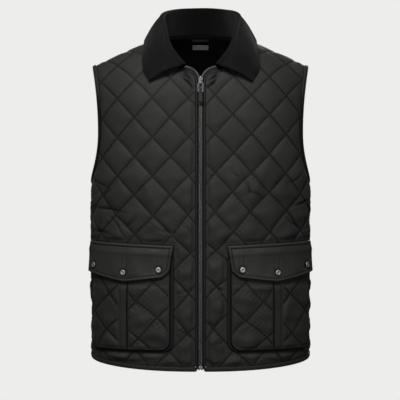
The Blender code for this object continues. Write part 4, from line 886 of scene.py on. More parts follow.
def frontPanel(side):
    # ruled between the centre front edge and the outer edge, with the top row on the shoulder seam
    edge = np.vstack((zipLine(zipSizes["panelEdge"], form["hem"], 0.004), frontNeck()[1:]))
    outer = np.vstack((sideEdge(front), armhole(front)[1:]))
    columns, rows = [roundUp(span, quilt["step"][front]) + 1 for span in quilt["span"][front]]
    share = np.linspace(0.0, 1.0, rows)[None, :]
    place = np.linspace(0.0, 1.0, columns)[:, None]
    edgeS, edgeT = runUp(edge, share)
    outS, outT = runUp(outer, share)
    s = edgeS + (outS - edgeS) * place
    t = edgeT + (outT - edgeT) * np.where(share < form["split"], place ** form["hemCurve"], place)
    seam = shoulder(front)[::-1]
    line = seam[0, 1] + (seam[-1, 1] - seam[0, 1]) * (s - seam[0, 0]) / (seam[-1, 0] - seam[0, 0])
    bow = np.interp(s, seam[:, 0], seam[:, 1]) - line
    t = t + bow * smoothStep(0.6, 1.0, share) * (s > form["neckHalf"])
    sewn = [mirrored(path, side) for path in (spaced(edge, 0.008), sideEdge(front, 12), shoulder(front, 8))]
    hem = hemEdge(front, zipSizes["panelEdge"], 0.03)
    bound = [mirrored(path, side) for path in (hem, spaced(armhole(front), 0.010))]
    nodes = ["front_" + sideNames[side]]
    panelPiece("quilted_front_" + sideNames[side], front, side * s, t, sewn, bound, nodes)


def backPanel():  # level rows between the outer edges, rising to the shoulder and neck line at the top
    outer = np.vstack((sideEdge(back), armhole(back)[1:]))
    columns, rows = [roundUp(span, quilt["step"][back]) + 1 for span in quilt["span"][back]]
    share = np.linspace(0.0, 1.0, rows)[None, :]
    place = np.linspace(-1.0, 1.0, columns)[:, None]
    outS, outT = runUp(outer, share)
    s = outS * place
    seam = shoulder(back)[::-1]
    neck = backNeck()[::-1]
    top = np.vstack((neck, seam[1:]))
    topT = np.interp(np.abs(s), top[:, 0], top[:, 1])
    t = outT + (topT - seam[-1, 1]) * smoothStep(0.55, 1.0, share)
    t = t + (hemRise(place) - hemRise(1.0)) * np.clip(1.0 - share / form["split"], 0.0, 1.0)
    seams = (sideEdge(back, 12), shoulder(back, 8))
    edges = (spaced(armhole(back), 0.010), hemEdge(back, 0.0, 0.03))
    sewn, bound = [[mirrored(path, side) for side in (left, right) for path in paths]
                   for paths in (seams, edges)]
    sewn.append(np.vstack((mirrored(spaced(neck, 0.008)[:0:-1], right), spaced(neck, 0.008))))
    panelPiece("quilted_back", back, s, t, sewn, bound, ["back"])


for side in (right, left):
    frontPanel(side)
backPanel()
print("panels done")

bindingSizes = {
    "width": 0.0080,
    "cloth": 0.0013,
    "gap": 0.0006,
    "step": 0.0030,
    "gather": (0.00018, 0.011),  # height and pitch of the puckers
    "armShade": (0.80, -0.10, -0.17),  # turned from the light low down: strength, start and full height
    "stitchIn": 0.0066,
}


def bindingProfile():  # folded tape round a raw edge: over the top, round the edge, under, and back inside
    width, wall, gap = bindingSizes["width"], bindingSizes["cloth"], bindingSizes["gap"]
    top, low, middle = form["cloth"] + gap, -gap, 0.5 * form["cloth"]
    angle = np.linspace(0.5 * math.pi, 1.5 * math.pi, 9)
    nose = np.stack(((form["seamGap"] + wall) * np.cos(angle),
                     middle + (top + wall - middle) * np.sin(angle)), axis=1)
    # shares of the width and of the wall
    over = ((1.0, 0.0), (1.0, 0.45), (0.93, 0.95), (0.75, 1.25), (0.45, 1.35), (0.18, 1.2))
    over = np.array([(width * into, top + wall * off) for into, off in over])
    under = ((0.2, 1.0), (0.8, 1.0), (1.0, 0.6), (1.0, 0.0))
    under = np.array([(width * into, low - wall * off) for into, off in under])
    inside = np.array(((0.0, low), (-form["seamGap"], middle), (0.0, top)))
    return np.vstack((over, nose, under, inside))


def gatheredProfile(edge, seed):  # the same profile with small puckers along the run
    profile = bindingProfile()
    along = arcOf(edge)
    height, pitch = bindingSizes["gather"]
    ripple = height * (np.sin(6.28 * along / pitch) + softNoise(along / 0.03, along * 0.0, seed))
    shape = np.broadcast_to(profile, (len(edge),) + profile.shape).copy()
    into, width = profile[:, 0], bindingSizes["width"]
    raised = (profile[:, 1] > form["cloth"]) & (into > 0.1 * width) & (into < width)
    shape[:, :, 1] += ripple[:, None] * raised[None, :]
    return shape


def armholeBinding(side):
    runs = []
    for face in (front, back):
        edge = armhole(face, bindingSizes["step"])
        inward = mirrored(armholeInward(face, edge), side)
        run = edgeRings(face, mirrored(edge, side), inward, gatheredProfile(edge, 41))
        runs.append(run if face == front else run[::-1])
    rings = np.vstack(runs)
    strength, start, full = bindingSizes["armShade"]
    dark = strength * smoothStep(start, full, rings[..., 2])
    addSweep("armhole_tape_" + sideNames[side], rings, tape,
             ["armhole_binding_" + sideNames[side]], True, dark)


def hemBinding():
    start = zipSizes["piping"] + 0.8 * zipSizes["pipingRadius"]  # closes up to the cord beside the zip
    fore, aft = hemEdge(front, start, bindingSizes["step"]), hemEdge(back, 0.0, bindingSizes["step"])
    edges = ((front, fore), (back, aft[-2::-1]),
             (back, mirrored(aft[1:-1], right)), (front, mirrored(fore[::-1], right)))
    runs = [edgeRings(face, edge, np.tile((0.0, 1.0), (len(edge), 1)), gatheredProfile(edge, 42))
            for face, edge in edges]
    addSweep("hem_tape", np.vstack(runs), tape, ["hem_binding"])


def pipingPiece(side):  # round cord beside the zip
    path = zipLine(zipSizes["piping"], form["hem"] - 0.0005, 0.004)
    angle = turnAngles(12)
    radius = zipSizes["pipingRadius"]
    profile = np.stack((radius * np.cos(angle), radius + radius * np.sin(angle)), axis=1)
    rings = edgeRings(front, mirrored(path, side), mirrored(pathNormals(path), side), profile)
    addSweep("front_cord_" + sideNames[side], rings, tape, ["front_piping_" + sideNames[side]])


for side in (right, left):
    armholeBinding(side)
    pipingPiece(side)
hemBinding()
print("bindings done")


def repeatedMesh(name, points, templates):  # the same small closed shape many times over
    count, size = points.shape[:2]
    start = np.arange(count)[:, None, None] * size
    faceSets = [(np.asarray(template)[None] + start).reshape(-1, len(template[0])) for template in templates]
    flat = points.reshape(-1, 3)
    return buildMesh(name, flat, faceSets, unsewn(flat))


def along(path, places):  # points and unit ways at lengths along a flat path
    arc = arcOf(path)
    ways = unit(np.gradient(path, axis=0))
    return atPath(places, arc, path), unit(atPath(places, arc, ways))


toothShape = {
    "section": ((-0.0004, -0.0012), (0.0040, -0.0012), (0.0043, -0.0006), (0.0043, 0.0009),
                (0.0035, 0.0018), (0.0006, 0.0018), (-0.0006, 0.0010), (-0.0006, -0.0006)),  # across, off
    "rings": ((-0.00064, 0.84), (-0.00042, 1.0), (0.00042, 1.0), (0.00064, 0.84)),  # along, swell
}


def zipHalf(side):
    path = zipLine(0.0, zipSizes["foot"], 0.004)
    low = -zipSizes["tapeUnder"]
    top = low + zipSizes["tapeCloth"]
    wide = zipSizes["tapeWidth"]
    profile = ((0.0001, low), (wide, low), (wide, top), (0.0052, top), (0.0046, top + 0.0005),
               (0.0034, top + 0.0011), (0.0018, top + 0.0011), (0.0001, top + 0.0006))
    rings = edgeRings(front, mirrored(path, side), mirrored(pathNormals(path), side), profile)
    addSweep("zip_tape_" + sideNames[side], rings, zipCloth, ["zip_half_" + sideNames[side]])
    end = np.array([(0.0, zipSizes["end"]), (0.0, zipSizes["foot"] + 0.0005)])
    profile = ((0.0001, low), (0.0104, low), (0.0104, top), (0.0001, top))
    rings = edgeRings(front, mirrored(end, side), mirrored(pathNormals(end), side), profile)
    addSweep("zip_tape_end_" + sideNames[side], rings, zipCloth)
    pitch = zipSizes["pitch"]
    places = np.arange(0.004 + (0.5 * pitch if side == left else 0.0), arcOf(path)[-1] - 0.002, pitch)
    spot, way = along(path, places)
    out = np.stack((way[:, 1], -way[:, 0]), axis=1)
    shape = np.array(toothShape["section"])
    centre = shape.mean(axis=0)
    step = np.array([row[0] for row in toothShape["rings"]])
    swell = np.array([row[1] for row in toothShape["rings"]])
    scaled = centre + (shape[None] - centre) * swell[:, None, None]
    s, t = [spot[:, None, None, axis] + way[:, None, None, axis] * step[None, :, None]
            + out[:, None, None, axis] * scaled[None, :, :, 0] for axis in (0, 1)]
    h = np.broadcast_to(scaled[None, :, :, 1], s.shape)
    points = drape(front, side * s, t, h).reshape(len(places), -1, 3)
    templates = [gridFaces(len(step), len(shape), False, True)] + capFaces(len(step), len(shape))
    name = "zip_teeth_" + sideNames[side]
    addPiece(name, repeatedMesh(name, points, templates), gunmetal)


for side in (right, left):
    zipHalf(side)
print("zip done")

collarSizes = {
    "cloth": 0.0026,
    "seamH": 0.0046,
    "edgeH": 0.0112,
    "roll": ((0.00, 0.0000, 0.0840, 0.0705),  # place, x, y, z
             (0.22, 0.0545, 0.0580, 0.0648),
             (0.42, 0.0835, -0.0040, 0.0440),
             (0.58, 0.0770, -0.0520, 0.0125),
             (0.78, 0.0655, -0.1030, -0.0335),
             (1.00, 0.0345, -0.1290, -0.0775)),
    "edge": ((0.00, back, 0.0000, -0.0150),  # place, face, s, z
             (0.22, back, 0.0850, -0.0300),
             (0.42, front, 0.1150, -0.0215),
             (0.58, front, 0.1185, -0.0480),
             (0.78, front, 0.1200, -0.0850),
             (1.00, front, 0.1060, -0.1150)),
    "backShare": 0.40,
    "radius": 0.0050,
    "bulge": (0.0025, 0.0080),
    "columns": 110,
    "rows": (14, 12, 34),  # stand, roll, fall
    "sway": 0.0008,
    "edgeRound": 0.0022,
}


def keyCurve(places, values, at):  # smooth curve through key points, square to the centre line at its start
    places, values = np.asarray(places), np.asarray(values)
    slopes = np.gradient(values, places, axis=0)
    slopes[0, 1:] = 0.0
    spot = np.clip(np.searchsorted(places, at, side="right") - 1, 0, len(places) - 2)
    width = (places[spot + 1] - places[spot])[:, None]
    share = (at - places[spot])[:, None] / width
    first = values[spot] * (1.0 + 2.0 * share) * (1.0 - share) ** 2
    second = values[spot + 1] * share ** 2 * (3.0 - 2.0 * share)
    third = slopes[spot] * width * share * (1.0 - share) ** 2
    fourth = slopes[spot + 1] * width * share ** 2 * (share - 1.0)
    return first + second + third + fourth


def neckSeam(places, h):  # the neckline from the centre back to the front end
    points = np.zeros((len(places), 3))
    share = collarSizes["backShare"]
    runs = (back, backNeck()[::-1], 0.0, share), (front, frontNeck()[::-1], share, 1.0)
    for face, path, low, high in runs:
        use = (places >= low) & (places <= high)
        arc = arcOf(path)
        s, t = atPath((places[use] - low) / (high - low) * arc[-1], arc, path).T
        points[use] = drape(face, s, t, np.full(len(s), h))
    return points


def collarPiece():
    # up from the neck seam, over the roll on a half circle, and down to the outer edge with a low bulge
    place = np.linspace(0.0, 1.0, collarSizes["columns"])
    seam = neckSeam(place, collarSizes["seamH"])
    rollKeys = np.array(collarSizes["roll"])
    roll = keyCurve(rollKeys[:, 0], rollKeys[:, 1:], place)
    edgeKeys = []
    for _, face, s, z in collarSizes["edge"]:
        s = np.array([s])
        edgeKeys.append(drape(face, s, patternT(face, s, z), np.array([collarSizes["edgeH"]]))[0])
    edge = keyCurve([row[0] for row in collarSizes["edge"]], np.array(edgeKeys), place)
    lean = unit(roll - seam)
    out = edge - roll
    out = unit(out - (out * lean).sum(axis=1, keepdims=True) * lean)
    radius = collarSizes["radius"]
    inner, outer = roll - out * radius - lean * radius, roll + out * radius - lean * radius
    standRows, rollRows, fallRows = collarSizes["rows"]
    share = np.linspace(0.0, 1.0, standRows)[None, :-1, None]
    stand = seam[:, None] + (inner - seam)[:, None] * share
    angle = np.linspace(0.0, math.pi, rollRows)[None, :-1, None]
    bow = (roll - lean * radius)[:, None] - out[:, None] * radius * np.cos(angle)
    bow = bow + lean[:, None] * radius * np.sin(angle)
    share = np.linspace(0.0, 1.0, fallRows)[None, :, None]
    bulge = np.interp(place, (0.2, 0.6), collarSizes["bulge"])[:, None, None]
    fall = outer[:, None] + (edge - outer)[:, None] * share
    fall = fall + lean[:, None] * bulge * 4.0 * share * (1.0 - share)
    half = np.concatenate((stand, bow, fall), axis=1)
    grid = np.concatenate((half[::-1], half[1:] * np.array((-1.0, 1.0, 1.0))), axis=0)
    columns, rows = grid.shape[:2]
    normal = unit(np.cross(np.gradient(grid, axis=0), np.gradient(grid, axis=1)))
    length = arcOf(grid[:, rows // 2])
    steps = np.linalg.norm(np.diff(grid, axis=1), axis=2)
    down = np.concatenate((np.zeros((columns, 1)), np.cumsum(steps, axis=1)), axis=1)
    toEdge = np.minimum(down[:, -1:] - down, np.minimum(length, length[-1] - length)[:, None])
    over = 1.0 - np.clip(toEdge / collarSizes["edgeRound"], 0.0, 1.0)
    thick = 0.5 * collarSizes["cloth"] * np.sqrt(np.clip(1.0 - over ** 2, 0.04, 1.0))
    sway = collarSizes["sway"] * softNoise(length[:, None] / 0.11, down / 0.11, 51)
    sway = sway * smoothStep(0.03, 0.10, down)
    above = grid + normal * (sway + thick)[..., None]
    below = grid + normal * (sway - thick)[..., None]
    cut = np.stack(np.broadcast_arrays(length[:, None], down, np.zeros((1, 1))), axis=-1)
    marks = unsewn(cut, smoothStep(rollRows * 0.5, 0.0, np.arange(rows) - standRows))  # painted shade inside the stand
    mesh = wallMesh("cord_collar", above, below, 1, marks, marks)
    piece = addPiece("cord_collar", mesh, needlecord, ["collar"])


collarPiece()


def flapUnder(s, t):  # sewn down at its top, stepping over the pocket, and lifting towards its lower edge
    (innerS, innerT), (outerS, outerT) = flapSizes["inner"][1], flapSizes["outer"][1]
    top = innerT + (outerT - innerT) * (np.abs(s) - innerS) / (outerS - innerS)
    below = top - t
    start = form["cloth"] + flapSizes["gap"]
    ramp = (pocketSizes["h"][1] + flapSizes["gap"] - start) * smoothStep(0.003, 0.022, below)
    return start + ramp + flapSizes["lift"] * smoothStep(0.030, 0.080, below)


def pocketEdge(t):  # side edges of a pocket with round lower corners
    corner = pocketSizes["corner"]
    over = np.clip(corner - (t - pocketSizes["t"][0]), 0.0, corner)
    pull = corner - np.sqrt(np.maximum(corner ** 2 - over ** 2, 0.0))
    return pocketSizes["s"][0] + pull, pocketSizes["s"][1] - pull


def pocketHeight(side, s, t):
    # quilted pads either side of a pleat that is crisp towards the centre and soft away from it
    low, high = pocketSizes["t"]
    pleat = pocketSizes["pleat"]
    rows = np.concatenate((np.linspace(low, low + pocketSizes["corner"], 12), [high]))
    inS, outS = pocketEdge(rows)
    off = pathDistance(s, t, np.vstack((np.stack((inS, rows), axis=1)[::-1], np.stack((outS, rows), axis=1))))
    seed = 4 if side == left else 5
    halves = [quiltRise(origin, side * s, t, pocketSizes["puff"], seed) for origin in pocketSizes["origin"]]
    rise, p, q, pad = [np.where(s < pleat[1], inward, outward) for inward, outward in zip(*halves)]
    outside = np.maximum(pleat[0] - s, s - pleat[3])
    fade = smoothStep(0.001, 0.010, off) * smoothStep(0.0, 0.012, flapSizes["lower"][2][1] - 0.004 - t)
    step = smoothStep(pleat[0] - 0.0007, pleat[0] + 0.0004, s)
    step = step * smoothStep(pleat[3] + 0.003, pleat[2] - 0.004, s)
    ditch = pocketSizes["ditch"] * bell(s, pleat[0] - 0.0010, 0.0009)
    rise = rise * smoothStep(0.0, 0.008, outside) + pocketSizes["pleatRise"] * step - ditch
    across = (s - pocketSizes["s"][0]) / (pocketSizes["s"][1] - pocketSizes["s"][0])
    slack = pocketSizes["slack"]
    for share in ((t - low) / (high - low), across):
        slack = slack * np.sin(math.pi * np.clip(share, 0.0, 1.0))
    roll = pocketSizes["edgeRoll"] * (1.0 - smoothStep(0.0, 0.0022, off))
    roll = roll + pocketSizes["stitchDitch"] * bell(off, 0.0060, 0.0012)
    height = pocketSizes["h"][1] + fade * (rise + slack) - roll * smoothStep(high, high - 0.01, t)
    dark = np.maximum(pocketSizes["edgeShade"] * smoothStep(0.0024, 0.0006, off),
                      pocketSizes["pleatShade"] * bell(s, pleat[0] - 0.0009, 0.0013))
    plain = (outside < 0.004) | (off < 0.003)
    return height, np.where(plain, 1.0, p), np.where(plain, 1.0, q), pad, dark


def pocketPatch(side):
    low, high = pocketSizes["t"]
    corner = pocketSizes["corner"]
    angle = np.linspace(0.0, 0.5 * math.pi, 17)[:-1]
    t = np.concatenate((low + corner * (1.0 - np.cos(angle)), np.linspace(low + corner, high, 105)))[None, :]
    inS, outS = pocketEdge(t)
    fold, _, _, end = pocketSizes["pleat"]  # more columns at the fold and at the end of the pleat
    close = [fold + off for off in (-0.0025, -0.0017, -0.0011, -0.0005, 0.0001, 0.0007)]
    close = (np.array(close + [end - 0.0005, end + 0.0015]) - inS.min()) / (outS.max() - inS.min())
    share = np.sort(np.concatenate((np.linspace(0.0, 1.0, 117), close)))[:, None]
    s = inS + (outS - inS) * share
    t = np.broadcast_to(t, s.shape)
    height, p, q, pad, dark = pocketHeight(side, s, t)
    outer = drape(front, side * s, t, height)
    coarse = pocketSizes["coarse"]
    innerS, innerT = s[::coarse, ::coarse], t[::coarse, ::coarse]
    inner = drape(front, side * innerS, innerT, np.full(innerS.shape, pocketSizes["h"][0]))
    outerMarks = {"cut": np.stack((side * s, t, pad), axis=-1), "quilt": np.stack((p, q, dark), axis=-1)}
    innerMarks = unsewn(np.stack((innerS, innerT, np.ones_like(innerS)), axis=-1), 1.0)
    name = "pocket_bag_" + sideNames[side]
    mesh = wallMesh(name, outer, inner, coarse, outerMarks, innerMarks)
    piece = addPiece(name, mesh, nylon, ["pocket_" + sideNames[side]])


def pocketGusset(side):  # bellows strip with a folded outer edge
    path = pocketRun(pocketSizes["gussetOut"], 0.004)
    low, high = pocketSizes["gussetH"]
    width = pocketSizes["gussetWidth"]
    profile = ((0.0010, low), (0.5 * width, low), (width, low), (width, high - 0.0006),
               (0.6 * width, high - 0.0006), (0.0060, high - 0.0005), (0.0042, high),
               (0.0022, high + 0.0002), (0.0006, high - 0.0003), (0.0, 0.5 * (low + high)),
               (0.0003, low + 0.0003))
    rings = edgeRings(front, mirrored(path, side), mirrored(-pathNormals(path), side), profile)
    into = np.array(profile)[:, 0]
    dark = pocketSizes["gussetShade"][0] + pocketSizes["gussetShade"][1] * ((into > 0.0055) | (into < 0.0004))
    addSweep("pocket_bellows_" + sideNames[side], rings, tape,
             ["pocket_gusset_" + sideNames[side]], dark=dark)


snaps = {
    "places": (("inner", 0.0862, -0.5070), ("middle", 0.1600, -0.5135), ("outer", 0.2330, -0.4990)),
    "profile": ((0.0000, 0.0000), (0.0056, 0.0000), (0.0061, 0.0003), (0.0062, 0.0008), (0.0060, 0.0014),
                (0.0056, 0.0018), (0.0048, 0.0021), (0.0038, 0.0023), (0.0029, 0.0023), (0.0023, 0.0021),
                (0.0018, 0.0015), (0.0012, 0.0012), (0.0000, 0.0011)),  # radius, height
    "turns": 40,
}


def softLine(points, count, passes):  # even points along a line of corners, softened by running means
    points = np.asarray(points, dtype=float)
    line = spaced(points, arcOf(points)[-1] / (count - 1))
    for _ in range(passes):
        line[1:-1] = 0.25 * line[:-2] + 0.5 * line[1:-1] + 0.25 * line[2:]
    return line


def flapOutline():
    lower = softLine(flapSizes["lower"], 133, 10)
    upper = np.linspace(flapSizes["inner"][1], flapSizes["outer"][1], 133)
    inner, outer = [np.linspace(*flapSizes[key], 61) for key in ("inner", "outer")]
    return lower, upper, inner, outer


def flapHeight(side, s, t):  # bound rim, stitched ditch inside it, soft folds, and dents round the snaps
    lower, upper, inner, outer = flapOutline()
    off = pathDistance(s, t, np.vstack((lower[::4], outer[::6], upper[::-12], inner[::-6], lower[:1])))
    width = flapSizes["beadWidth"]
    bead = flapSizes["bead"] * smoothStep(width, width - 0.0022, off)
    ditch = -flapSizes["ditch"] * bell(off, width + 0.0006, 0.0010)
    roll = -flapSizes["roll"] * (1.0 - smoothStep(0.0, 0.0024, off)) ** 2
    soft = flapSizes["soft"] * softNoise(side * s / 0.06, t / 0.10, 61) * smoothStep(0.006, 0.016, off)
    seat = np.zeros_like(s)
    top = np.interp(s, upper[:, 0], upper[:, 1])
    thick = flapSizes["cloth"] + flapSizes["welt"] * smoothStep(0.026, 0.003, top - t)
    dark = np.maximum(smoothStep(0.0016, 0.0004, off) * (top - t > 0.01), bell(off, width + 0.0006, 0.0008))
    dark = flapSizes["rimShade"] * dark
    around, under = flapSizes["snapDent"]
    for _, snapS, snapT in snaps["places"]:
        reach = np.hypot(s - snapS, t - snapT)
        seat = seat - around * bell(reach, 0.0078, 0.0026) * (reach > 0.0062)
        seat = seat - under * bell(reach, 0.0, 0.006)
        for shift, deep in flapSizes["snapDrags"]:
            soft = soft - deep * bell(s, snapS + shift, 0.0026) * bell(t, snapT + 0.020, 0.012)
        dark = np.maximum(dark, flapSizes["snapShade"] * smoothStep(0.0088, 0.0076, reach))
    return flapUnder(s, t) + thick + bead + ditch + roll + soft + seat, dark


def pocketFlap(side):  # patch between four edges: sum of the two ruled ways less the corner way
    lower, upper, inner, outer = flapOutline()
    u, v = np.linspace(0.0, 1.0, len(lower))[:, None, None], np.linspace(0.0, 1.0, len(inner))[None, :, None]
    corners = (1 - v) * ((1 - u) * lower[0] + u * lower[-1]) + v * ((1 - u) * upper[0] + u * upper[-1])
    cut = (1 - v) * lower[:, None] + v * upper[:, None] + (1 - u) * inner[None] + u * outer[None] - corners
    s, t = cut[..., 0], cut[..., 1]
    height, dark = flapHeight(side, s, t)
    outerGrid = drape(front, side * s, t, height)
    coarse = pocketSizes["coarse"]
    innerS, innerT = s[::coarse, ::coarse], t[::coarse, ::coarse]
    innerGrid = drape(front, side * innerS, innerT, flapUnder(innerS, innerT))
    outerMarks = unsewn(np.stack((side * s, t, np.zeros_like(s)), axis=-1), dark)
    innerMarks = unsewn(np.stack((innerS, innerT, np.ones_like(innerS)), axis=-1), 1.0)
    name = "pocket_flap_cloth_" + sideNames[side]
    mesh = wallMesh(name, outerGrid, innerGrid, coarse, outerMarks, innerMarks)
    piece = addPiece(name, mesh, flapCloth, ["pocket_flap_" + sideNames[side]])


def snapCap(side, place, s, t):  # turned cap: its profile carried round the flap's own slope
    near = np.array(((s, t), (s, t + 0.001), (s + 0.001, t)))
    h = flapUnder(near[:, 0], near[:, 1]) + flapSizes["cloth"] + form["seamGap"]
    spots = drape(front, side * near[:, 0], near[:, 1], h)
    up = unit(spots[1] - spots[0])
    out = unit(np.cross((spots[2] - spots[0]) * side, up))
    across = np.cross(up, out)
    radius, height = np.array(snaps["profile"]).T
    angle = turnAngles(snaps["turns"])
    radius = np.maximum(radius, 0.00002)
    circle = np.cos(angle)[:, None] * across + np.sin(angle)[:, None] * up
    rings = spots[0] + radius[:, None, None] * circle + height[:, None, None] * out
    name = "snap_cap_" + sideNames[side] + "_" + place
    addPiece(name, sweepMesh(name, rings), satin, ["snap_" + sideNames[side] + "_" + place])


for side in (right, left):
    pocketGusset(side)
    pocketPatch(side)
    pocketFlap(side)
    for place, s, t in snaps["places"]:
        snapCap(side, place, s, t)
print("pockets done")

# slider, pull and the foot of the zip, in a frame with x across, y up the zip and z off the cloth
slider = {
    "rise": 0.0012,
    "plate": (0.0106, 0.0180, 0.0014),
    "plateZ": 0.0028,
    "waist": (0.24, -0.0012, 0.0034),  # share, place and reach
    "backZ": -0.0032,
    "bail": (0.0030, 0.0007),  # arch radius and wire
    "bridge": ((0.0098, -0.0008), (0.0094, 0.0010), (0.0082, 0.0018),
               (0.0066, 0.0019), (0.0050, 0.0014), (0.0040, -0.0002)),  # up the zip, off the plate
    "bridgeWire": (0.0007, 0.0013),
    "wings": ((-0.0037, 0.0032), (0.0037, 0.0032), (-0.0037, -0.0066), (0.0037, -0.0066)),
    "wingLevels": ((1.0, 0.0), (0.95, 0.0004), (0.7, 0.0007), (0.02, 0.0008)),  # swell, height
    "bailY": -0.0052,
    "pivotLift": 0.00125,
    "linkHalf": 0.0052,
    "linkLength": 0.0190,
    "linkWire": (0.0012, 0.0008),  # half width in its plane and half thickness
    "tag": (0.0085, 0.0215, 0.0022),
    "tagGap": 0.0004,
    "tagLevels": ((0.0, 0.02), (0.004, 0.55), (0.02, 0.80), (0.06, 0.95), (0.14, 1.0), (0.35, 0.97),
                  (0.6, 0.97), (0.86, 1.0), (0.94, 0.95), (0.98, 0.80), (0.996, 0.55), (1.0, 0.02)),
    "groove": (0.00045, 0.0006),  # depth and half width
    "linkCorner": 0.0026,
    "sleeve": ((-0.0026, 0.05), (-0.0026, 0.85), (-0.0022, 1.0),
               (0.0022, 1.0), (0.0026, 0.85), (0.0026, 0.05)),  # across, swell
    "sleeveRadius": (0.0020, 0.0017),
    "box": (0.0106, 0.0086, 0.0036),
    "boxY": -0.0026,
    "boxSplay": 0.10,
}


def clothFrame(s, t):  # spot and three ways on the inside of the front
    nearS, nearT = 0.001 * np.array(((0, -1, 1, 0, 0), (0, 0, 0, -1, 1)))
    spots = drape(front, s + nearS, t + nearT, np.zeros(5))
    up = unit(spots[4] - spots[3])
    out = unit(np.cross(spots[2] - spots[1], up))
    return spots[0], np.stack((np.cross(up, out), up, out))


def ovalOutline(half, length, square, taper=0.0):  # superellipse, narrower towards its foot
    angle = turnAngles(48)
    y = length * signedPower(np.sin(angle), 2.0 / square)
    x = half * signedPower(np.cos(angle), 2.0 / square) * (1.0 - taper * (0.5 - 0.5 * y / length))
    return np.stack((x, y), axis=1)


def loftRings(outline, levels, centre=(0.0, 0.0)):  # an outline carried up through levels of swell and height
    return np.stack([np.column_stack((outline * swell + np.array(centre), np.full(len(outline), height)))
                     for swell, height in levels])


def plateLevels(low, high, edge=0.0004):  # flat faces with a rounded rim
    rim = ((0.02, 0.0), (0.80, 0.0), (0.95, 0.3 * edge), (1.0, edge))
    return [(swell, low + off) for swell, off in rim] + [(swell, high - off) for swell, off in rim[::-1]]


def joinedMesh(name, parts):  # several closed sweeps in one mesh
    points, faces, first = [], [], 0
    for rings, closed in parts:
        count, size = rings.shape[:2]
        faces.append(gridFaces(count, size, closed, True) + first)
        if not closed:
            faces += [cap + first for cap in capFaces(count, size)]
        points.append(rings.reshape(-1, 3))
        first += count * size
    points = np.vstack(points)
    return buildMesh(name, points, faces, unsewn(points))


def outwardRings(rings, closed=False):  # turns a sweep so that its faces point out
    count, size = rings.shape[:2]
    faces = gridFaces(count, size, closed, True)
    flat = rings.reshape(-1, 3) - rings.reshape(-1, 3).mean(axis=0)
    cross = np.cross(flat[faces[:, 2]] - flat[faces[:, 0]], flat[faces[:, 3]] - flat[faces[:, 1]])
    return rings if float((flat[faces].mean(axis=1) * cross).sum()) > 0.0 else rings[:, ::-1]


def wireRings(path, wire, closed):  # oval wire along a path in the plane x 0 or z 0
    ways = unit(np.roll(path, -1, axis=0) - np.roll(path, 1, axis=0) if closed else np.gradient(path, axis=0))
    flatWay = np.array((1.0, 0.0, 0.0)) if np.ptp(path[:, 0]) < 1e-6 else np.array((0.0, 0.0, 1.0))
    across = np.cross(ways, flatWay)
    angle = turnAngles(12)[None, :, None]
    return path[:, None] + across[:, None] * (wire[0] * np.cos(angle)) + flatWay * (wire[1] * np.sin(angle))


def placedMesh(name, parts, spot, ways, closed=False):  # sweeps turned outward and set on the cloth
    return joinedMesh(name, [(spot + outwardRings(rings, closed) @ ways, closed) for rings in parts])


def sliderPiece(spot, ways):
    width, length, thick = slider["plate"]
    low, backZ = slider["plateZ"], slider["backZ"]
    top = low + thick
    outline = ovalOutline(0.5 * width, 0.5 * length, 3.4)
    share, place, reach = slider["waist"]
    outline[:, 0] *= 1.0 - share * bell(outline[:, 1], place, reach)
    plate = loftRings(outline, plateLevels(low, top))
    outline = ovalOutline(0.44 * width, 0.44 * length, 3.4, 0.15)
    backPlate = loftRings(outline, plateLevels(backZ - 0.0005, backZ + 0.0005, 0.0003))
    levels = ((1.0, backZ), (1.0, low + 0.0005))
    post = loftRings(ovalOutline(0.0005, 0.0011, 3.0), levels, (0.0, 0.5 * length - 0.0015))
    mesh = placedMesh("slider_body", (plate, backPlate, post), spot, ways)
    addPiece("slider_body", mesh, blackened, ["zip_slider"])
    radius, wire = slider["bail"]
    turn = np.linspace(-0.25, math.pi + 0.25, 24)
    arch = np.column_stack((np.zeros(24), slider["bailY"] + radius * np.cos(turn),
                            top + 0.0003 + radius * np.sin(turn)))
    knots = np.linspace(0.0, 1.0, len(slider["bridge"]))
    y, z = [np.interp(np.linspace(0.0, 1.0, 25), knots, row) for row in np.array(slider["bridge"]).T]
    bridge = np.column_stack((np.zeros(25), y, top + z))
    levels = [(swell, top - 0.0001 + off) for swell, off in slider["wingLevels"]]
    parts = [wireRings(arch, (wire, wire * 1.5), False), wireRings(bridge, slider["bridgeWire"], False)]
    parts += [loftRings(ovalOutline(0.0011, 0.0024, 2.6), levels, centre) for centre in slider["wings"]]
    addPiece("slider_bridge", placedMesh("slider_bridge", parts, spot, ways), steel)


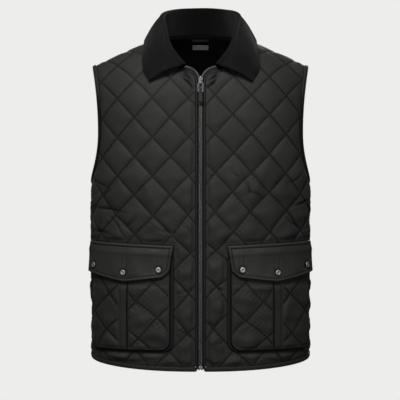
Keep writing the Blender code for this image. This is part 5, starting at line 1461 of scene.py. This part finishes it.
def pullPiece(spot, ways):
    # a loop of wire through the bail, and a grooved tag with a sleeve round the loop's foot
    lift = slider["plateZ"] + slider["plate"][2] + slider["pivotLift"]
    pivot = spot + np.array((0.0, slider["bailY"], lift)) @ ways
    half, length, corner = slider["linkHalf"], slider["linkLength"], slider["linkCorner"]
    angle = np.linspace(0.0, 0.5 * math.pi, 8)
    quarter = np.stack((corner * np.sin(angle), corner * np.cos(angle)), axis=1)
    turned = np.stack((quarter[:, 1], -quarter[:, 0]), axis=1)
    across, foot = half - corner, length - corner
    loop = np.vstack((np.array((across, -corner)) + quarter, np.array((across, -foot)) + turned,
                      np.array((-across, -foot)) - quarter, np.array((-across, -corner)) - turned))
    rings = wireRings(np.column_stack((loop, np.zeros(len(loop)))), slider["linkWire"], True)
    mesh = placedMesh("pull_link", [rings], pivot, ways, True)
    addPiece("pull_link", mesh, gunmetal, ["zip_pull_link"], "zip_pull")
    width, long, deep = slider["tag"]
    top = -length - slider["linkWire"][1] - slider["tagGap"]
    angle = turnAngles(40)
    x = 0.5 * width * signedPower(np.cos(angle), 0.5)
    z = 0.5 * deep * signedPower(np.sin(angle), 0.6)
    z = z - slider["groove"][0] * bell(x, 0.0, slider["groove"][1]) * np.sign(z)
    tag = np.stack([np.column_stack((x * (0.5 + 0.5 * size) * min(1.0, 8 * size),
                                     np.full(len(x), top - long * place), z * size))
                    for place, size in slider["tagLevels"]])
    angle = turnAngles(16)
    y, z = slider["sleeveRadius"][0] * np.cos(angle), slider["sleeveRadius"][1] * np.sin(angle)
    sleeve = np.stack([np.column_stack((np.full(16, x), -length + size * y, size * z))
                       for x, size in slider["sleeve"]])
    mesh = placedMesh("pull_tag", (tag, sleeve), pivot, ways)
    addPiece("pull_tag", mesh, rubber, ["zip_pull_tag"], "zip_pull")


def footBox():  # two metal ends at the foot of the zip, splayed apart
    width, tall, deep = slider["box"]
    spot, ways = clothFrame(0.0, zipSizes["foot"] - form["seamGap"])
    outline = ovalOutline(0.25 * width - 0.0004, 0.5 * tall, 3.0)
    levels = plateLevels(-0.5 * deep, 0.5 * deep + 0.0006, 0.0008)
    tips = []
    for way in (-1.0, 1.0):
        tip = loftRings(outline, levels, (way * 0.25 * width, slider["boxY"]))
        tip[..., 0] += way * slider["boxSplay"] * (slider["boxY"] - tip[..., 1])
        tips.append(tip)
    addPiece("zip_foot_box", placedMesh("zip_foot_box", tips, spot, ways), steel, ["zip_box"])


sliderFrame = clothFrame(0.0, turnT + slider["rise"])
sliderPiece(*sliderFrame)
pullPiece(*sliderFrame)
footBox()
print("slider done")

trims = {
    "label": {"half": 0.018, "below": (0.0230, 0.0350), "h": (-0.0018, -0.0009), "bow": 0.0003},
    "loop": {"half": 0.0185, "below": (0.0055, 0.0115), "h": (-0.0018, -0.0009), "bow": 0.0022},
}


def neckTrim(name, sizes, material, node):  # small strip on the inside of the back, bowed off the cloth
    nape = float(patternT(back, 0.0, form["napeZ"]))
    s = np.linspace(-sizes["half"], sizes["half"], 41)[:, None]
    t = np.linspace(nape - sizes["below"][1], nape - sizes["below"][0], 17)[None, :]
    s, t = np.broadcast_arrays(s, t)
    bow = sizes["bow"] * (1.0 - (s / sizes["half"]) ** 4)
    off = np.minimum(sizes["half"] - np.abs(s), np.minimum(t - t.min(), t.max() - t))
    turned = 0.00015 * smoothStep(0.0022, 0.0012, off)
    inner = drape(back, s, t, sizes["h"][0] - bow - turned)
    outer = drape(back, s, t, sizes["h"][1] - bow)
    marks = unsewn(np.stack((s, t, np.zeros_like(s)), axis=-1))
    addPiece(name, wallMesh(name, outer, inner, 1, marks, marks), material, [node])


neckTrim("bare_label", trims["label"], labelCloth, "neck_label")
neckTrim("hanger_tape", trims["loop"], tape, "hanger_loop")
print("neck trims done")

# sewing: a small eight-sided stitch repeated along each line
stitches = {
    "pitch": 0.0032,
    "length": 0.0024,
    "radius": 0.00032,
    "clear": 0.0095,  # off the edge of a panel
    "beside": 0.0146,  # off the zip's middle
    "pocketIn": 0.0060,
    "pleatIn": 0.0022,
}
stitchFaces = ((0, 2, 4), (2, 1, 4), (1, 3, 4), (3, 0, 4), (2, 0, 5), (1, 2, 5), (3, 1, 5), (0, 3, 5))


def insideLoop(s, t, loop):  # even count of crossings to the right means outside
    inside = np.zeros(np.shape(s), dtype=bool)
    for (s0, t0), (s1, t1) in zip(loop, np.roll(loop, -1, axis=0)):
        if t0 != t1:
            inside ^= ((t0 > t) != (t1 > t)) & (s < s0 + (t - t0) * (s1 - s0) / (t1 - t0))
    return inside


def stitchPoints(face, s, t, h, keep):  # six points for each stitch: ends, sides, over and under
    spots = drape(face, s, t, h)
    way = np.gradient(spots, axis=-2)
    out = drape(face, s, t, np.asarray(h) + 0.001) - spots
    spots, way, out = spots[keep], unit(way[keep]), unit(out[keep])
    over = np.cross(way, out)
    half, radius = 0.5 * stitches["length"], stitches["radius"]
    reaches = (half * way, radius * over, radius * out)
    return np.stack([spots + sign * reach for reach in reaches for sign in (-1.0, 1.0)], axis=1)


def panelLoop(face):  # outline of the left half of a panel
    start = zipSizes["panelEdge"] if face == front else 0.0
    if face == front:
        inner = np.vstack((zipLine(start, form["hem"], 0.01), frontNeck()[1:]))
    else:
        inner = np.vstack(([(0.0, form["hem"])], backNeck()[::-1]))
    outer = [path[1:] for path in (sideEdge(face), armhole(face), shoulder(face))]
    return np.vstack([hemEdge(face, start, 0.01)] + outer + [inner[::-1][1:-1]])


def quiltStitches(face, side):
    # along every sewn line, found from its p and q by a few steps back through the drift
    origin = quilt["origin"][face, side if face == front else left]
    loop = panelLoop(face)
    pitch = 2.0 * stitches["pitch"] / math.hypot(quilt["across"], quilt["up"])
    places = np.arange(-9.0, 21.0, pitch)[None, :]
    lines = 2.0 * np.arange(-7, 11)[:, None]
    runs = []
    for p, q in (np.broadcast_arrays(lines, places), np.broadcast_arrays(places, lines)):
        across, up = 0.5 * (p + q), 0.5 * (p - q)
        s, t = origin[0] + across * quilt["across"], origin[1] + up * quilt["up"]
        for _ in range(6):
            driftAcross, driftUp = wanderOf(side * s, t)
            s = origin[0] + (across - driftAcross) * quilt["across"]
            t = origin[1] + (up - driftUp) * quilt["up"]
        keep = insideLoop(s, t, loop) & (pathDistance(s, t, np.vstack((loop, loop[:1]))) > stitches["clear"])
        keep &= (pocketFoot(s, t) > 0.003) if face == front else (np.abs(s) > 0.001)
        s, t = np.clip(s, 0.0, 0.285), np.clip(t, form["hem"], 0.06)
        height = form["cloth"] + foldRise(creases, face, side * s, t)
        runs.append(stitchPoints(face, side * s, t, height, keep))
    return np.vstack(runs)


def lineStitches(face, path, height):
    path = spaced(path, stitches["pitch"])
    s, t = path[:, 0], path[:, 1]
    return stitchPoints(face, s, t, height(s, t), np.ones(len(path), dtype=bool))


def stitchPiece(name, runs):
    addPiece(name, repeatedMesh(name, np.vstack(runs), [stitchFaces]), thread)


def level(height):  # the same height all along a line
    return lambda s, t: np.full(len(s), height)


bindingH = form["cloth"] + bindingSizes["gap"] + 1.15 * bindingSizes["cloth"]
for side in (right, left):
    runs = []
    for face in (front, back):
        edge = armhole(face)
        edge = edge + armholeInward(face, edge) * bindingSizes["stitchIn"]
        runs.append(lineStitches(face, mirrored(edge, side), level(bindingH)))
    stitchPiece("armhole_stitches_" + sideNames[side], runs)
    beside = mirrored(zipLine(stitches["beside"], form["hem"] + 0.012, 0.004), side)
    runs = [quiltStitches(front, side), lineStitches(front, beside, level(form["cloth"]))]
    stitchPiece("front_stitches_" + sideNames[side], runs)
    edge = pocketRun([-stitches["pocketIn"]] * 3, 0.003)
    flapT, foldS = flapSizes["lower"][2][1], pocketSizes["pleat"][0] + stitches["pleatIn"]
    edge = edge[edge[:, 1] < flapT]
    fold = np.array([(foldS, pocketSizes["t"][0] + 0.009), (foldS, flapT)])
    lower, upper, inner, outer = flapOutline()
    rim = np.vstack((upper[::-6], inner[::-6], lower[::6], outer[::6]))
    rim = rim + (rim.mean(axis=0) - rim) * (bindingSizes["stitchIn"] / np.array((0.095, 0.038)))
    runs = [lineStitches(front, mirrored(path, side), lambda s, t: pocketHeight(side, np.abs(s), t)[0])
            for path in (edge, fold)]
    runs.append(lineStitches(front, mirrored(rim, side), lambda s, t: flapHeight(side, np.abs(s), t)[0]))
    stitchPiece("pocket_stitches_" + sideNames[side], runs)
stitchPiece("back_stitches", [quiltStitches(back, side) for side in (right, left)])
runs = []
for side in (right, left):
    for face, start in ((front, zipSizes["panelEdge"]), (back, 0.0)):
        edge = hemEdge(face, start + 0.004, 0.004) + np.array((0.0, bindingSizes["stitchIn"]))
        runs.append(lineStitches(face, mirrored(edge, side), level(bindingH)))
stitchPiece("hem_stitches", runs)
print("stitches done")

# plain pale floor, soft studio light
studio = {
    "floorZ": -1.45,
    "floorRadius": 3.6,
    "floorGlow": 0.85,  # lit sheet, kept off the cloth
    "floorTones": ((0.80, 0.80, 0.785, 1.0), (0.84, 0.84, 0.825, 1.0)),
    "backdrop": (0.847, 0.847, 0.831, 1.0),
    "ambient": 0.075,
    "lights": (("key", (-0.22, -1.40, 0.95), (0.9, 0.6), 30.0),  # name, place, size, watts
               ("fill", (0.4, -2.5, -0.45), (1.2, 1.2), 8.0),
               ("top", (0.0, -0.3, 1.6), (1.4, 0.8), 3.0),
               ("back", (0.3, 2.3, 0.7), (1.6, 1.2), 42.0)),
    "aim": (0.0, -0.05, -0.25),
}
angle = turnAngles(96)
floorLevels = ((0.01, -0.02), (studio["floorRadius"], -0.02), (studio["floorRadius"], 0.0), (0.01, 0.0))
floorLevels = [(radius, studio["floorZ"] + height) for radius, height in floorLevels]
floorCircle = np.stack((np.cos(angle), np.sin(angle)), axis=1)
floorMesh = sweepMesh("studio_floor", loftRings(floorCircle, floorLevels))
floorCloth, floorTree, floorShader = newMaterial("floor_paint", 0.9)
floorPlace = floorTree.nodes.new("ShaderNodeTexCoord").outputs["Object"]
floorTone = mixNode(floorTree, noiseNode(floorTree, floorPlace, 3.0), *studio["floorTones"])
floorTree.links.new(floorTone, floorShader.inputs["Base Color"])
floorTree.links.new(floorTone, floorShader.inputs["Emission Color"])
floorShader.inputs["Emission Strength"].default_value = studio["floorGlow"]
floorMesh.materials.append(floorCloth)
floor = bpy.data.objects.new("studio_floor", floorMesh)
bpy.context.scene.collection.objects.link(floor)
floor.visible_diffuse = floor.visible_glossy = False
for name, place, size, watts in studio["lights"]:
    lamp = bpy.data.lights.new(name + "_light", "AREA")
    lamp.shape = "RECTANGLE"
    lamp.size, lamp.size_y = size
    lamp.energy = watts
    holder = bpy.data.objects.new(name + "_light", lamp)
    holder.location = place
    way = np.array(studio["aim"]) - np.array(place)
    tilt = math.acos(-way[2] / np.linalg.norm(way))
    holder.rotation_euler = (tilt, 0.0, math.atan2(way[1], way[0]) - math.pi / 2.0)
    bpy.context.scene.collection.objects.link(holder)
world = bpy.data.worlds.new("studio_air")
bpy.context.scene.world = world
world.use_nodes = True
air = world.node_tree
air.nodes["Background"].inputs["Color"].default_value = studio["backdrop"]
dim = air.nodes.new("ShaderNodeBackground")
dim.inputs["Color"].default_value = studio["backdrop"]
dim.inputs["Strength"].default_value = studio["ambient"]
seen = air.nodes.new("ShaderNodeLightPath")
both = air.nodes.new("ShaderNodeMixShader")
air.links.new(seen.outputs["Is Camera Ray"], both.inputs[0])
air.links.new(dim.outputs[0], both.inputs[1])
air.links.new(air.nodes["Background"].outputs[0], both.inputs[2])
air.links.new(both.outputs[0], air.nodes["World Output"].inputs["Surface"])
bpy.context.scene.view_settings.view_transform = "Standard"

print("scene done")
